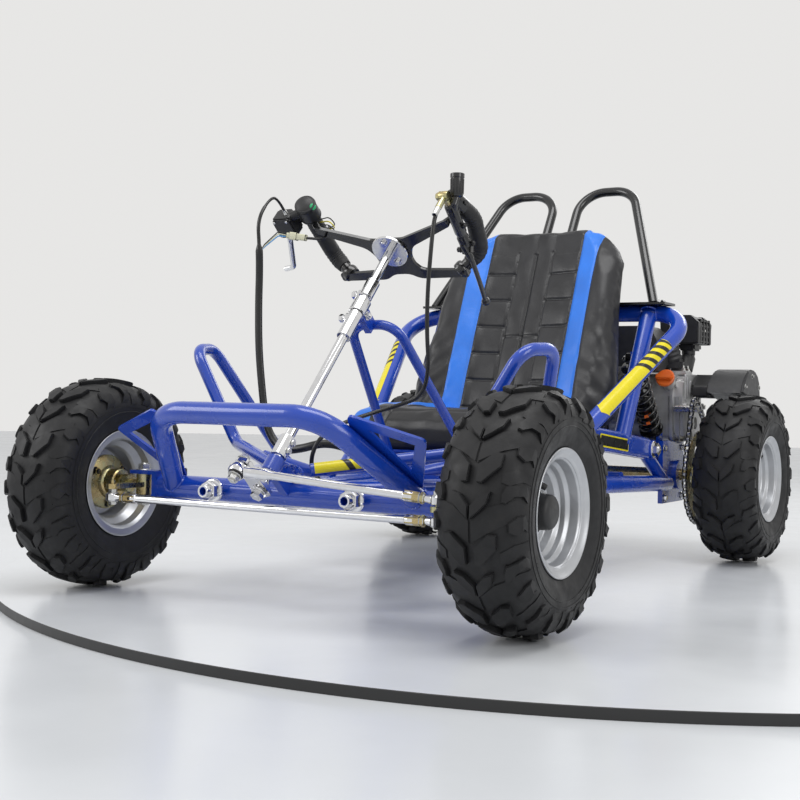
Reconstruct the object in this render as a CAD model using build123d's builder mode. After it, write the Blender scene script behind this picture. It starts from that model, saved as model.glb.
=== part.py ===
from build123d import *
from math import radians, tan
import os

# A small off-road kart: tube frame, four knobbly tyres, handlebar steering, chain-driven rear axle.
# Millimetres. Forward is -Y, the driver's left is +X, up is +Z.
# The origin is on the ground, midway between the two axles.

# Wheels and tyres
TYRE_OD = 355.0
TYRE_W = 132.0
RIM_W = 116.0
RIM_OD = 180.0
BEAD_OD = 152.0
WELL_OD = 124.0
RIM_WALL = 3.5
WHEELBASE = 1108.0
FRONT_TRACK = 806.0
REAR_TRACK = 786.0

# Frame tubes
BEAM_OD = 38.0
BUMPER_OD = 34.0
RAIL_OD = 34.0
CROSS_OD = 25.0
LOOP_OD = 21.0
COLUMN_HOOP_OD = 17.0
HOOP_OD = 34.0
ROLL_OD = 20.0
GUSSET_T = 4.0

# Frame layout
BEAM_HALF = 266.0
RAIL_X = 240.0
RAIL_FRONT_Z = 190.0
RAIL_REAR_Z = 160.0
SPINE_X = 45.0
SEAT_PAN_Z = 228.0
SEAT_PAN_T = 5.0
BOSS_X = 133.0
BOSS_BORE = 12.0

# Steering
KINGPIN_X = 303.0
KINGPIN_D = 12.0
YOKE_GAP = 36.0
YOKE_T = 6.0
ARM_LENGTH = 75.0
PITMAN_LENGTH = 62.0
TIE_ROD_D = 12.0
TIE_ROD_Z = 160.0
DRAG_LINK_Z = 190.0
SHAFT_D = 16.0
SHAFT_AXIS = Vector(0, 0.671, 0.741).normalized()
BAR_AT = 512.0
BAR_T = 6.0
HAND_TUBE_D = 22.0
GRIP_D = 28.0

# Rear axle and drive
AXLE_D = 25.0
CARRIER_T = 10.0
SPROCKET_X = 298.0
SPROCKET_R = 103.0
SPROCKET_T = 4.0
TEETH = 51
TOOTH_H = 5.0
PINION_R = 22.0
PINION_UP = 144.5
PINION_AHEAD = 39.0
CHAIN_W = 9.0
CHAIN_H = 9.0
DISC_R = 80.0
DISC_T = 4.0
DECK_Z = 243.0
DECK_T = 6.0

# Hoses
BRAKE_HOSE_D = 7.0
THROTTLE_CABLE_D = 8.0
THROTTLE_LOOP_D = 5.0

# Running clearances
RUN_GAP = 0.3
FACE_GAP = 1.0

AXLE_Z = TYRE_OD / 2
FRONT_Y = -WHEELBASE / 2
REAR_Y = WHEELBASE / 2
FRONT_X = FRONT_TRACK / 2
REAR_X = REAR_TRACK / 2
BAR_DIR = Vector(0, -SHAFT_AXIS.Z, SHAFT_AXIS.Y)
SHAFT_FOOT = Vector(0, FRONT_Y - 62, AXLE_Z + 32.5)
ARM_Y = FRONT_Y - ARM_LENGTH
RAIL_END_Y = REAR_Y - 49
PINION_Y = REAR_Y - PINION_AHEAD
PINION_Z = AXLE_Z + PINION_UP


def on_shaft(along, across=0.0, side=0.0):
    """A point by its distance along the steering shaft, up the bar plane and to the left."""
    return SHAFT_FOOT + SHAFT_AXIS * along + BAR_DIR * across + Vector(side, 0, 0)


def shaft_plane(along):
    return Plane(origin=on_shaft(along), x_dir=(1, 0, 0), z_dir=SHAFT_AXIS)


def rod(start, end, diameter):
    """A straight round bar between two points."""
    start, end = Vector(*start), Vector(*end)
    with BuildPart() as bar:
        with BuildSketch(Plane(origin=start, z_dir=end - start)):
            Circle(diameter / 2)
        extrude(amount=(end - start).length)
    return bar.part


def bent_tube(points, bends, diameter):
    """A round tube along straight runs joined by arcs."""
    with BuildPart() as tube:
        with BuildLine() as path:
            FilletPolyline(*points, radius=bends)
        with BuildSketch(Plane(origin=path.line @ 0, z_dir=path.line % 0)):
            Circle(diameter / 2)
        sweep(path=path.line)
    return tube.part


def block(low, high):
    """A box between two corners."""
    with BuildPart() as box:
        with Locations(Vector(*[(a + b) / 2 for a, b in zip(low, high)])):
            Box(*[b - a for a, b in zip(low, high)])
    return box.part


def bend_radii(points):
    """The largest arcs that a route's corners leave room for."""
    radii = []
    for before, corner, after in zip(points, points[1:], points[2:]):
        come, go = corner - before, after - corner
        radii.append(0.45 * min(come.length, go.length) / tan(radians(come.get_angle(go) / 2)))
    return radii


def hose(name, points, diameter):
    points = [Vector(*point) for point in points]
    radii = bend_radii(points)
    print(name, "bend radii", [round(radius) for radius in radii])
    return bent_tube(points, radii, diameter)


def mirrored(points):
    return [(-x, y, z) for x, y, z in points]


# FRONT AXLE

with BuildPart() as front_beam:
    add(rod((-BEAM_HALF, FRONT_Y, AXLE_Z), (BEAM_HALF, FRONT_Y, AXLE_Z), BEAM_OD))
    ear = YOKE_GAP / 2
    for side in (-1, 1):
        inner, outer = side * (BEAM_HALF - 4), side * (KINGPIN_X + 17)
        web = side * (BEAM_HALF + 6)
        for low in (-ear - YOKE_T, ear):
            add(block((min(inner, outer), FRONT_Y - 17, AXLE_Z + low),
                      (max(inner, outer), FRONT_Y + 17, AXLE_Z + low + YOKE_T)))
        add(block((min(inner, web), FRONT_Y - 17, AXLE_Z - ear),
                  (max(inner, web), FRONT_Y + 17, AXLE_Z + ear)))
        pin_half = ear + YOKE_T + 8
        add(rod((side * KINGPIN_X, FRONT_Y, AXLE_Z - pin_half),
            (side * KINGPIN_X, FRONT_Y, AXLE_Z + pin_half), KINGPIN_D))
        # A hollow boss on the front of the beam: sleeve, hexagon and flange, with its bore
        boss = Plane(origin=(side * BOSS_X, FRONT_Y, AXLE_Z), z_dir=(0, -1, 0))
        with BuildSketch(boss):
            Circle(10)
        extrude(amount=54)
        with BuildSketch(boss.offset(30)):
            RegularPolygon(14, 6)
        extrude(amount=14)
        with BuildSketch(boss.offset(27)):
            Circle(19)
        extrude(amount=4)
        with BuildSketch(boss.offset(14)):
            Circle(BOSS_BORE / 2)
        extrude(amount=60, mode=Mode.SUBTRACT)
    # Lower bearing of the steering shaft on its bracket
    with BuildSketch(shaft_plane(4)):
        Circle(SHAFT_D / 2 + 7)
        with Locations((0, 34)):
            Rectangle(14, 60)
    extrude(amount=26)
    with BuildSketch(shaft_plane(-20)):
        Circle(SHAFT_D / 2 + RUN_GAP)
    extrude(amount=80, mode=Mode.SUBTRACT)

# FRONT BUMPER

BUMPER_LEAN = Vector(0, 146, 128).normalized()
BUMPER_NORMAL = Vector(0, 128, 146).normalized()

with BuildPart() as front_bumper:
    foot = (235, FRONT_Y, AXLE_Z)
    top = (150, FRONT_Y - 146, AXLE_Z + 125)
    add(bent_tube([foot, top, *mirrored([top, foot])], [80, 80], BUMPER_OD))
    gusset = [(170, 143), (180, 178), (288, 127), (232, 6), (214, 12)]
    opening = [(202, 146), (266, 117), (234, 56)]
    gusset_plane = Plane(origin=Vector(0, FRONT_Y, AXLE_Z) + BUMPER_NORMAL * (BUMPER_OD / 2 - 3),
                         x_dir=(1, 0, 0), z_dir=BUMPER_NORMAL)
    for side in (-1, 1):
        with BuildSketch(gusset_plane):
            Polygon(*[(side * x, -w) for x, w in gusset], align=None)
            fillet(vertices().filter_by_position(Axis.Y, -180, -120), 8)
            Polygon(*[(side * x, -w) for x, w in opening], align=None, mode=Mode.SUBTRACT)
        extrude(amount=GUSSET_T)
    add(front_beam.part, mode=Mode.SUBTRACT)

# FLOOR FRAME

KNEE_Y = FRONT_Y + 224
FOOT_Y = FRONT_Y + 182
FOOT_BAR_D = 22.0
TREAD_PITCH = 7.0
tread_teeth = []
for tooth in range(12):
    right = 42 - TREAD_PITCH * tooth
    top = 12.5 + right * 0.107
    tread_teeth += [(right - TREAD_PITCH / 2, top - 3.5), (right - TREAD_PITCH + 0.5, top)]

with BuildPart() as floor_frame:
    for side in (-1, 1):
        add(bent_tube([(side * 70, FRONT_Y, AXLE_Z + 6), (side * RAIL_X, KNEE_Y, RAIL_FRONT_Z),
                       (side * RAIL_X, RAIL_END_Y, RAIL_REAR_Z)], [110], RAIL_OD))
        add(rod((side * SPINE_X, FRONT_Y, AXLE_Z + 6), (side * SPINE_X, 240, RAIL_FRONT_Z), CROSS_OD))
        # A foot rest beside each middle tube: a sloping bar with a toothed tread along its top
        add(rod((side * SPINE_X, FOOT_Y, RAIL_FRONT_Z + 2), (side * 190, FOOT_Y, RAIL_FRONT_Z + 34),
                FOOT_BAR_D))
        for edge in (-12, 9):
            with BuildSketch(Plane(origin=(side * 125, FOOT_Y + edge, RAIL_FRONT_Z + 18),
                                   x_dir=(side, 0, 0), z_dir=(0, side, 0))):
                Polygon(*[(-42, 0), (42, 0), (42, 17)], *tread_teeth, (-42, 8), align=None)
            extrude(amount=3 * side)
    for y, z in ((-90, RAIL_FRONT_Z), (60, RAIL_FRONT_Z - 2), (235, RAIL_FRONT_Z - 8)):
        add(rod((-RAIL_X, y, z), (RAIL_X, y, z), CROSS_OD))
    for y in (-60, 190):
        add(block((-170, y - 12, RAIL_FRONT_Z - 6), (170, y + 12, SEAT_PAN_Z)))
    add(block((-200, -80, SEAT_PAN_Z), (200, 215, SEAT_PAN_Z + SEAT_PAN_T)))
    add(front_beam.part, mode=Mode.SUBTRACT)

# SIDE LOOPS

LOOP_POINTS = [(30, FRONT_Y + 8, 216), (RAIL_X - 18, FRONT_Y + 144, 247),
               (RAIL_X + 82, FRONT_Y + 148, 410), (RAIL_X + 102, KNEE_Y, 414),
               (RAIL_X + 22, FRONT_Y + 339, 215), (RAIL_X + 4, FRONT_Y + 359, RAIL_FRONT_Z - 4)]
LOOP_BENDS = [30, 38, 36, 30]

with BuildPart() as side_loop_left:
    add(bent_tube(LOOP_POINTS, LOOP_BENDS, LOOP_OD))
    add(front_beam.part, mode=Mode.SUBTRACT)
    add(floor_frame.part, mode=Mode.SUBTRACT)

with BuildPart() as side_loop_right:
    mirror(side_loop_left.part, about=Plane.YZ)

# COLUMN HOOP

HOOP_TOP_AT = 376.0

with BuildPart() as column_hoop:
    leg = [(90, -90, RAIL_FRONT_Z), tuple(on_shaft(HOOP_TOP_AT, -49, 46))]
    add(bent_tube([*leg, *mirrored(reversed(leg))], [38, 38], COLUMN_HOOP_OD))
    # Upper bearing of the shaft on a short tab
    with BuildSketch(shaft_plane(HOOP_TOP_AT - 20)):
        Circle(SHAFT_D / 2 + 6)
        with Locations((0, 28)):
            Rectangle(12, 44)
    extrude(amount=24)
    with BuildSketch(shaft_plane(HOOP_TOP_AT - 46)):
        Circle(SHAFT_D / 2 + RUN_GAP)
    extrude(amount=80, mode=Mode.SUBTRACT)
    add(floor_frame.part, mode=Mode.SUBTRACT)

# REAR HOOP WITH ITS POSTS AND RAILS

LUG = (RAIL_X - 4, 384, 236)
SHOCK_FOOT = Vector(0, LUG[1] + 113, LUG[2] + 22)
SHOCK_HEAD = Vector(0, LUG[1] - 32, LUG[2] + 188)
SHOCK_X = RAIL_X - 28
SHOCK_EYE_W = 20.0
SHOCK_BOLT_D = 10.0
PLATE_T = 6.0

with BuildPart() as rear_hoop:
    leg = [(RAIL_X - 2, -35, RAIL_FRONT_Z), (RAIL_X - 4, 57, 280), (RAIL_X + 98, 388, 520)]
    add(bent_tube([*leg, *mirrored(reversed(leg))], [120, 72, 72, 120], HOOP_OD))
    for side in (-1, 1):
        add(rod((side * LUG[0], 238, 250), (side * RAIL_X, 374, 515), HOOP_OD))
        start, end = Vector(side * LUG[0], 66, 266), Vector(side * LUG[0], LUG[1] - 14, LUG[2] + 2)
        with BuildSketch(Plane(origin=start, x_dir=(1, 0, 0), z_dir=end - start)):
            RectangleRounded(30, 44, 10)
        extrude(amount=(end - start).length)
        with Locations(Plane(origin=(side * LUG[0], LUG[1], LUG[2]), z_dir=(1, 0, 0))):
            Cylinder(20, 34)
        add(rod((side * LUG[0], LUG[1] - 8, LUG[2] - 8), (side * RAIL_X, RAIL_END_Y - 12, RAIL_REAR_Z), 28))
        # Plate and bolt that hold the shock's head
        near, far = side * (SHOCK_X + SHOCK_EYE_W / 2), side * (SHOCK_X + SHOCK_EYE_W / 2 + PLATE_T)
        add(block((min(near, far), SHOCK_HEAD.Y - 30, SHOCK_HEAD.Z - 13),
                  (max(near, far), SHOCK_HEAD.Y + 13, SHOCK_HEAD.Z + 13)))
        add(rod((far, SHOCK_HEAD.Y, SHOCK_HEAD.Z),
                (side * (SHOCK_X - SHOCK_EYE_W / 2 - 4), SHOCK_HEAD.Y, SHOCK_HEAD.Z), SHOCK_BOLT_D))
    add(floor_frame.part, mode=Mode.SUBTRACT)

# ROLL HOOPS

ROLL_TILT = 0.58

def roll_point(x, z):
    return (x, 366 + ROLL_TILT * (z - 560), z)

with BuildPart() as roll_hoops:
    for side in (-1, 1):
        add(bent_tube([roll_point(side * 258, 538), roll_point(side * 152, 802),
                   roll_point(side * 30, 802), roll_point(side * 30, 538)], [58, 58], ROLL_OD))
    add(block((-RAIL_X - 45, 344, 536), (RAIL_X + 45, 410, 541)))
    add(block((-RAIL_X - 45, 330, 520), (RAIL_X + 45, 430, 536)), mode=Mode.SUBTRACT)
    add(rear_hoop.part, mode=Mode.SUBTRACT)

# REAR SUBFRAME

with BuildPart() as rear_subframe:
    for side in (-1, 1):
        inner = side * RAIL_X - CARRIER_T / 2
        add(block((inner, RAIL_END_Y - 40, 118), (inner + CARRIER_T, REAR_Y + 48, 252)))
        with Locations(Plane(origin=(side * RAIL_X, REAR_Y, AXLE_Z), z_dir=(1, 0, 0))):
            Cylinder(32, 30)
        with Locations(Plane(origin=(side * RAIL_X, REAR_Y, AXLE_Z), z_dir=(1, 0, 0))):
            Cylinder(AXLE_D / 2 + RUN_GAP, 60, mode=Mode.SUBTRACT)
        add(rod((side * (RAIL_X - 25), LUG[1], LUG[2]), (side * (RAIL_X - 25), REAR_Y - 40, 215), 26))
        # Two ears and a bolt for the shock's foot
        for ear in (-SHOCK_EYE_W / 2 - PLATE_T, SHOCK_EYE_W / 2):
            low = min(side * (SHOCK_X + ear), side * (SHOCK_X + ear + PLATE_T))
            add(block((low, SHOCK_FOOT.Y - 12, LUG[2] - 8), (low + PLATE_T, SHOCK_FOOT.Y + 12, SHOCK_FOOT.Z + 12)))
        add(rod((side * (SHOCK_X - SHOCK_EYE_W / 2 - PLATE_T - 4), SHOCK_FOOT.Y, SHOCK_FOOT.Z),
                (side * (SHOCK_X + SHOCK_EYE_W / 2), SHOCK_FOOT.Y, SHOCK_FOOT.Z), SHOCK_BOLT_D))
    for y, z in ((LUG[1], LUG[2]), (SHOCK_FOOT.Y + 3, DECK_Z - 9), (REAR_Y + 38, DECK_Z - 9)):
        add(rod((-LUG[0], y, z), (LUG[0], y, z), 22))
    add(block((-150, REAR_Y - 84, DECK_Z), (SHOCK_X - SHOCK_EYE_W / 2 - PLATE_T, REAR_Y + 62, DECK_Z + DECK_T)))
    add(floor_frame.part, mode=Mode.SUBTRACT)
    add(rear_hoop.part, mode=Mode.SUBTRACT)

# SHOCKS

shock_dir = (SHOCK_HEAD - SHOCK_FOOT).normalized()
shock_len = (SHOCK_HEAD - SHOCK_FOOT).length
SPRING_FREE = 18.0
SPRING_OD = 50.0
SPRING_WIRE = 7.0
SPRING_TURNS = 9

def shock_plane(x, along):
    return Plane(origin=SHOCK_FOOT + Vector(x, 0, 0) + shock_dir * along,
                 x_dir=(1, 0, 0), z_dir=shock_dir)

def make_shock(x):
    with BuildPart() as shock:
        with BuildSketch(shock_plane(x, 0)):
            Circle(9)
        extrude(amount=shock_len)
        with BuildSketch(shock_plane(x, 16)):
            Circle(15)
        extrude(amount=90)
        for along in (20, shock_len - 24):
            with BuildSketch(shock_plane(x, along)):
                Circle(SPRING_OD / 2 + 1)
            extrude(amount=4)
        for along in (0, shock_len):
            with Locations(Plane(origin=SHOCK_FOOT + Vector(x, 0, 0) + shock_dir * along,
                                 z_dir=(1, 0, 0))):
                Cylinder(12, SHOCK_EYE_W)
    return shock.part

with BuildPart() as shock_left:
    add(make_shock(SHOCK_X))
    add(rear_subframe.part, mode=Mode.SUBTRACT)
    add(rear_hoop.part, mode=Mode.SUBTRACT)

with BuildPart() as shock_right:
    mirror(shock_left.part, about=Plane.YZ)


def make_spring(x):
    """The coil as a ribbed sleeve of round rings on a thin tube."""
    pitch = (shock_len - 48) / SPRING_TURNS
    with BuildPart() as spring:
        with BuildSketch(shock_plane(x, 24)):
            Circle(SPRING_OD / 2 - SPRING_WIRE / 2 + 1)
            Circle(SPRING_OD / 2 - SPRING_WIRE / 2 - 1, mode=Mode.SUBTRACT)
        extrude(amount=shock_len - 48)
        for turn in range(SPRING_TURNS):
            ring_plane = shock_plane(x, 24 + pitch * (turn + 0.5))
            with Locations(ring_plane):
                Torus(SPRING_OD / 2 - SPRING_WIRE / 2, SPRING_WIRE / 2)
    return spring.part

with BuildPart() as spring_left:
    add(make_spring(SHOCK_X))

with BuildPart() as spring_right:
    mirror(spring_left.part, about=Plane.YZ)

# ENGINE

ENGINE_Y = REAR_Y + 41
CRANK = (REAR_Y + 23, DECK_Z + 87)
BARREL_AXIS = Vector(0, -0.9, 0.44).normalized()
FIN_PITCH = 10.0
CARBURETTOR = Vector(205, ENGINE_Y - 90, 417)
OIL_NECK = Vector(225, ENGINE_Y - 83, 383)
OIL_AXIS = Vector(0, -1, 0.5).normalized()


def side_plane(x, y=0, z=0, way=1):
    """A plane that faces left or right, with y across and z up."""
    return Plane(origin=(x, y, z), x_dir=(0, 1, 0), z_dir=(way, 0, 0))


with BuildPart() as engine_block:
    with BuildSketch(side_plane(-20, ENGINE_Y, 300.5)):
        RectangleRounded(146, 103, 16)
    extrude(amount=288)
    with BuildSketch(Plane.XY.offset(340)):
        with Locations((124, ENGINE_Y)):
            Rectangle(280, 138)
    extrude(amount=60, taper=14)
    add(block((20, ENGINE_Y - 155, 262), (180, ENGINE_Y - 73, 330)))
    # Cylinder, its cooling fins, the head and the valve cover
    barrel = Plane(origin=(90, ENGINE_Y - 95, 320), x_dir=(1, 0, 0), z_dir=BARREL_AXIS)
    with BuildSketch(barrel):
        Rectangle(96, 84)
    extrude(amount=66)
    for fin in range(5):
        with BuildSketch(barrel.offset(18 + fin * FIN_PITCH)):
            RectangleRounded(124, 108, 10)
        extrude(amount=3.5)
    with BuildSketch(barrel.offset(66)):
        RectangleRounded(112, 98, 12)
    extrude(amount=10)
    with BuildSketch(barrel.offset(76)):
        RectangleRounded(88, 72, 14)
    extrude(amount=20)
    # Carburettor beside the cylinder
    add(rod(CARBURETTOR, (224, ENGINE_Y - 43, 419), 26))
    add(block((196, ENGINE_Y - 92, 372), (226, ENGINE_Y - 62, 410)))
    # Output shaft with the small sprocket
    with Locations(side_plane(260, PINION_Y, PINION_Z)):
        Cylinder(8, SPROCKET_X + 8 - 260, align=(Align.CENTER, Align.CENTER, Align.MIN))
    with Locations(side_plane(SPROCKET_X, PINION_Y, PINION_Z)):
        Cylinder(PINION_R - CHAIN_H / 2, 5)
    # Filler neck of the oil cap
    with BuildSketch(Plane(origin=OIL_NECK - OIL_AXIS * 20, z_dir=OIL_AXIS)):
        Circle(9)
    extrude(amount=40)
    add(rear_subframe.part, mode=Mode.SUBTRACT)

with BuildPart() as oil_cap:
    with BuildSketch(Plane(origin=OIL_NECK + OIL_AXIS * 20, z_dir=OIL_AXIS)):
        Circle(21)
        with PolarLocations(21, 8):
            Circle(3, mode=Mode.SUBTRACT)
    extrude(amount=14)

# The starter housing on the closed side of the engine, with its air slots
with BuildPart() as engine_shroud:
    with BuildSketch(side_plane(-20, *CRANK, way=-1)):
        Circle(80)
    extrude(amount=70)
    with BuildSketch(side_plane(-90, *CRANK, way=-1)):
        Circle(62)
    extrude(amount=24)
    fillet(edges().group_by(Axis.X)[0], 6)
    with BuildSketch(side_plane(-114, *CRANK, way=-1)):
        with PolarLocations(38, 12):
            SlotOverall(26, 6)
    extrude(amount=-8, mode=Mode.SUBTRACT)
    add(rear_subframe.part, mode=Mode.SUBTRACT)

with BuildPart() as air_filter:
    add(block((190, ENGINE_Y - 15, 466), (280, ENGINE_Y + 85, 530)))
    fillet(edges().filter_by(Axis.Y), 8)
    with BuildSketch(side_plane(280, ENGINE_Y + 35, 498)):
        with GridLocations(15, 1, 6, 1):
            SlotOverall(44, 6, rotation=90)
    extrude(amount=-6, mode=Mode.SUBTRACT)
    # Standpipe and the boot to the carburettor
    add(rod((246, ENGINE_Y + 11, 396), (246, ENGINE_Y + 11, 470), 22))
    add(rod((246, ENGINE_Y + 11, 421), (224, ENGINE_Y - 43, 419), 32))
    add(engine_block.part, mode=Mode.SUBTRACT)

with BuildPart() as clutch_cover:
    add(block((268, ENGINE_Y - 35, 345), (318, ENGINE_Y + 105, 400)))
    with BuildSketch(side_plane(306)):
        with BuildLine():
            under = Line((ENGINE_Y - 35, 364), (ENGINE_Y + 105, 364))
            rise = Line(under @ 0, (ENGINE_Y + 41, 412))
            ThreePointArc(rise @ 1, (ENGINE_Y + 86, 402), under @ 1)
        make_face()
    extrude(amount=94)

# CHAIN

def chain_outline(grow):
    with BuildSketch(side_plane(SPROCKET_X - CHAIN_W / 2)) as outline:
        with Locations((REAR_Y, AXLE_Z)):
            Circle(SPROCKET_R + grow)
        with Locations((PINION_Y, PINION_Z)):
            Circle(PINION_R + grow)
        make_hull()
    return outline.sketch

with BuildPart() as chain:
    extrude(chain_outline(CHAIN_H / 2), amount=CHAIN_W)
    extrude(chain_outline(-CHAIN_H / 2), amount=CHAIN_W, mode=Mode.SUBTRACT)

# BRAKE CALIPER

CALIPER = (REAR_Y - 76, AXLE_Z + 53)
CALIPER_OUT = 20.0
PAD_GAP = 3.0
DISC_X = -SPROCKET_X
CALIPER_UNION = (-RAIL_X - 26, REAR_Y - 116, AXLE_Z + 62.5)

with BuildPart() as brake_caliper:
    mount_x = -RAIL_X - CARRIER_T / 2
    with BuildSketch(side_plane(mount_x, *CALIPER, way=-1)):
        RectangleRounded(45, 62, 10)
    extrude(amount=mount_x - DISC_X + CALIPER_OUT)
    with BuildSketch(side_plane(DISC_X - CALIPER_OUT, *CALIPER, way=-1)):
        with GridLocations(1, 28, 1, 2):
            Circle(12)
    extrude(amount=6)
    add(rod((CALIPER_UNION[0], CALIPER[0], CALIPER_UNION[2]), CALIPER_UNION, 11))
    half = DISC_T / 2 + PAD_GAP
    add(block((DISC_X - half, CALIPER[0] - 23, CALIPER[1] - 32),
              (DISC_X + half, CALIPER[0] + 42, CALIPER[1] + 20)), mode=Mode.SUBTRACT)
    add(rear_subframe.part, mode=Mode.SUBTRACT)

# SEAT

with BuildPart() as seat_cushion:
    with BuildSketch(Plane.XY.offset(SEAT_PAN_Z + SEAT_PAN_T)):
        with Locations((0, 62)):
            RectangleRounded(430, 330, 40)
    extrude(amount=84)
    fillet(edges().group_by(Axis.Z)[-1], 24)

SEAT_LEAN = 0.40
SEAT_BACK_T = 32.0
BOLSTER_T = 36.0
back_plane = Plane(origin=(0, 206, 300), x_dir=(1, 0, 0), z_dir=Vector(0, -1, SEAT_LEAN))
SEAT_OUTLINE = [(236, -35), (244, 90), (226, 190), (218, 250), (214, 350), (166, 418), (120, 440)]
BOLSTER_INNER = [(118, 410), (112, 300), (118, 90), (130, -10)]

with BuildPart() as seat_back:
    with BuildSketch(back_plane):
        Polygon(*SEAT_OUTLINE, *[(-x, y) for x, y in reversed(SEAT_OUTLINE)], align=None)
    extrude(amount=-SEAT_BACK_T)
    for side in (-1, 1):
        with BuildSketch(back_plane):
            Polygon(*[(side * x, y) for x, y in SEAT_OUTLINE[1:-1] + BOLSTER_INNER], align=None)
        extrude(amount=BOLSTER_T, taper=22)
    add(seat_cushion.part, mode=Mode.SUBTRACT)
    add(rear_hoop.part, mode=Mode.SUBTRACT)

# STEERING

CLAMP_BOLTS = (342.0, 399.0)

with BuildPart() as steering_column:
    with BuildSketch(shaft_plane(-34)):
        Circle(SHAFT_D / 2)
    extrude(amount=BAR_AT + 34)
    # Drop arm, its bolt and the lower nut
    arm = shaft_plane(-31)
    with BuildSketch(arm):
        Circle(16)
        with Locations((0, -PITMAN_LENGTH / 2)):
            Rectangle(20, PITMAN_LENGTH)
        with Locations((0, -PITMAN_LENGTH)):
            Circle(10)
    extrude(amount=8)
    with BuildSketch(shaft_plane(-31)):
        with Locations((0, -PITMAN_LENGTH)):
            Circle(5)
    extrude(amount=-24)
    # Clamp sleeves of the two-part shaft, the upper one with two bolts
    for low, high, diameter in ((36, 74, 26), (296, 352, 24), (392, 430, 24)):
        with BuildSketch(shaft_plane(low)):
            Circle(diameter / 2)
        extrude(amount=high - low)
    for along in CLAMP_BOLTS:
        add(rod(on_shaft(along), on_shaft(along, 0, -24), 9))
        add(rod(on_shaft(along, 0, -20), on_shaft(along, 0, -27), 14))
    with BuildSketch(shaft_plane(BAR_AT)):
        Circle(34)
    extrude(amount=-5)

# Half of the handlebar plate's outline, from its top edge round both openings
BAR_OUTLINE = [(30, 24), (134, 60), (134, 46), (46, 6), (32, -20), (40, -48), (130, -52),
               (130, -68), (34, -68), (16, -56)]
HAND_TUBE = [(146, 96, 22), (160, 30, 40), (150, -40, 36), (112, -61, 9)]
HAND_BENDS = [60, 30]
GRIP_FROM, GRIP_TO = 38.0, 8.0


def bar_point(x, across, lift):
    return on_shaft(BAR_AT + lift, across, x)


def hand_path(side, cut_start, cut_end):
    """The bowed hand tube's corners, shortened at both ends."""
    points = [bar_point(side * x, across, lift) for x, across, lift in HAND_TUBE]
    points[0] += (points[1] - points[0]).normalized() * cut_start
    points[-1] += (points[-2] - points[-1]).normalized() * cut_end
    return points


with BuildPart() as handlebar:
    with BuildSketch(shaft_plane(BAR_AT)):
        Polygon(*[(x, -v) for x, v in BAR_OUTLINE], *[(-x, -v) for x, v in reversed(BAR_OUTLINE)],
                align=None)
        fillet(vertices().filter_by(lambda corner: abs(corner.X) < 60), 9)
    extrude(amount=BAR_T)
    for side in (-1, 1):
        add(bent_tube(hand_path(side, 0, 0), HAND_BENDS, HAND_TUBE_D))
        add(rod(bar_point(side * 128, 53, 3), bar_point(side * 154, 56, 30), 12))

def make_grip(side):
    with BuildPart() as grip:
        add(bent_tube(hand_path(side, GRIP_FROM, GRIP_TO), HAND_BENDS, GRIP_D))
        add(handlebar.part, mode=Mode.SUBTRACT)
    return grip.part

with BuildPart() as grip_left:
    add(make_grip(1))

with BuildPart() as grip_right:
    add(make_grip(-1))

# Clamps on the upper ends of the hand tubes
def control_clamp(side, diameter):
    top, bend = hand_path(side, 0, 0)[:2]
    run = (bend - top).normalized()
    return rod(top + run * 4, top + run * (GRIP_FROM - 1), diameter)

BRAKE_HOSE_TOP = bar_point(148, 108, -18)
LEVER_PATH = [(147, 8, -2), (154, -24, -6), (150, -74, -6), (141, -126, 0)]

with BuildPart() as brake_lever:
    add(control_clamp(1, 32))
    # Master cylinder, its fluid cup on a stem, and the hose union
    add(rod(bar_point(148, 2, 4), bar_point(150, 92, 6), 21))
    add(rod(bar_point(150, 70, 6), (163, -334, 668), 12))
    add(rod((163, -334, 662), (163, -334, 700), 27))
    add(rod((163, -334, 699), (163, -334, 706), 30))
    add(rod(bar_point(150, 88, 6), bar_point(148, 108, 4), 14))
    add(rod(bar_point(139, 108, 4), bar_point(158, 108, 4), 16))
    add(rod(bar_point(148, 108, 4), BRAKE_HOSE_TOP, 10))
    add(bent_tube([bar_point(*corner) for corner in LEVER_PATH], [40, 60], 10))
    with Locations(bar_point(*LEVER_PATH[-1])):
        Sphere(8)
    add(handlebar.part, mode=Mode.SUBTRACT)

THROTTLE_LEVER = [(-192, 44, 8), (-198, 14, 4), (-226, -50, 4), (-244, -54, 4)]

with BuildPart() as throttle_control:
    add(control_clamp(-1, 38))
    # Cable box, its neck and the cranked thumb lever
    with BuildSketch(shaft_plane(BAR_AT)):
        with Locations((-195, -64)):
            RectangleRounded(38, 44, 6)
    extrude(amount=26)
    add(rod(bar_point(-180, 82, 14), bar_point(-150, 84, 24), 14))
    add(bent_tube([bar_point(*corner) for corner in THROTTLE_LEVER], [30, 10], 9))
    add(handlebar.part, mode=Mode.SUBTRACT)

# HOSES

# The throttle cable leaves its box upwards and turns back over it
CABLE_TURN = [bar_point(-188, 86, 13), bar_point(-187, 120, 13), bar_point(-186, 137, -3),
              bar_point(-186, 137, -28)]
DOWN_SHAFT = SHAFT_AXIS * -1

with BuildPart() as throttle_cable_loop:
    add(hose("throttle_cable_loop", CABLE_TURN, THROTTLE_LOOP_D))

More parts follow.
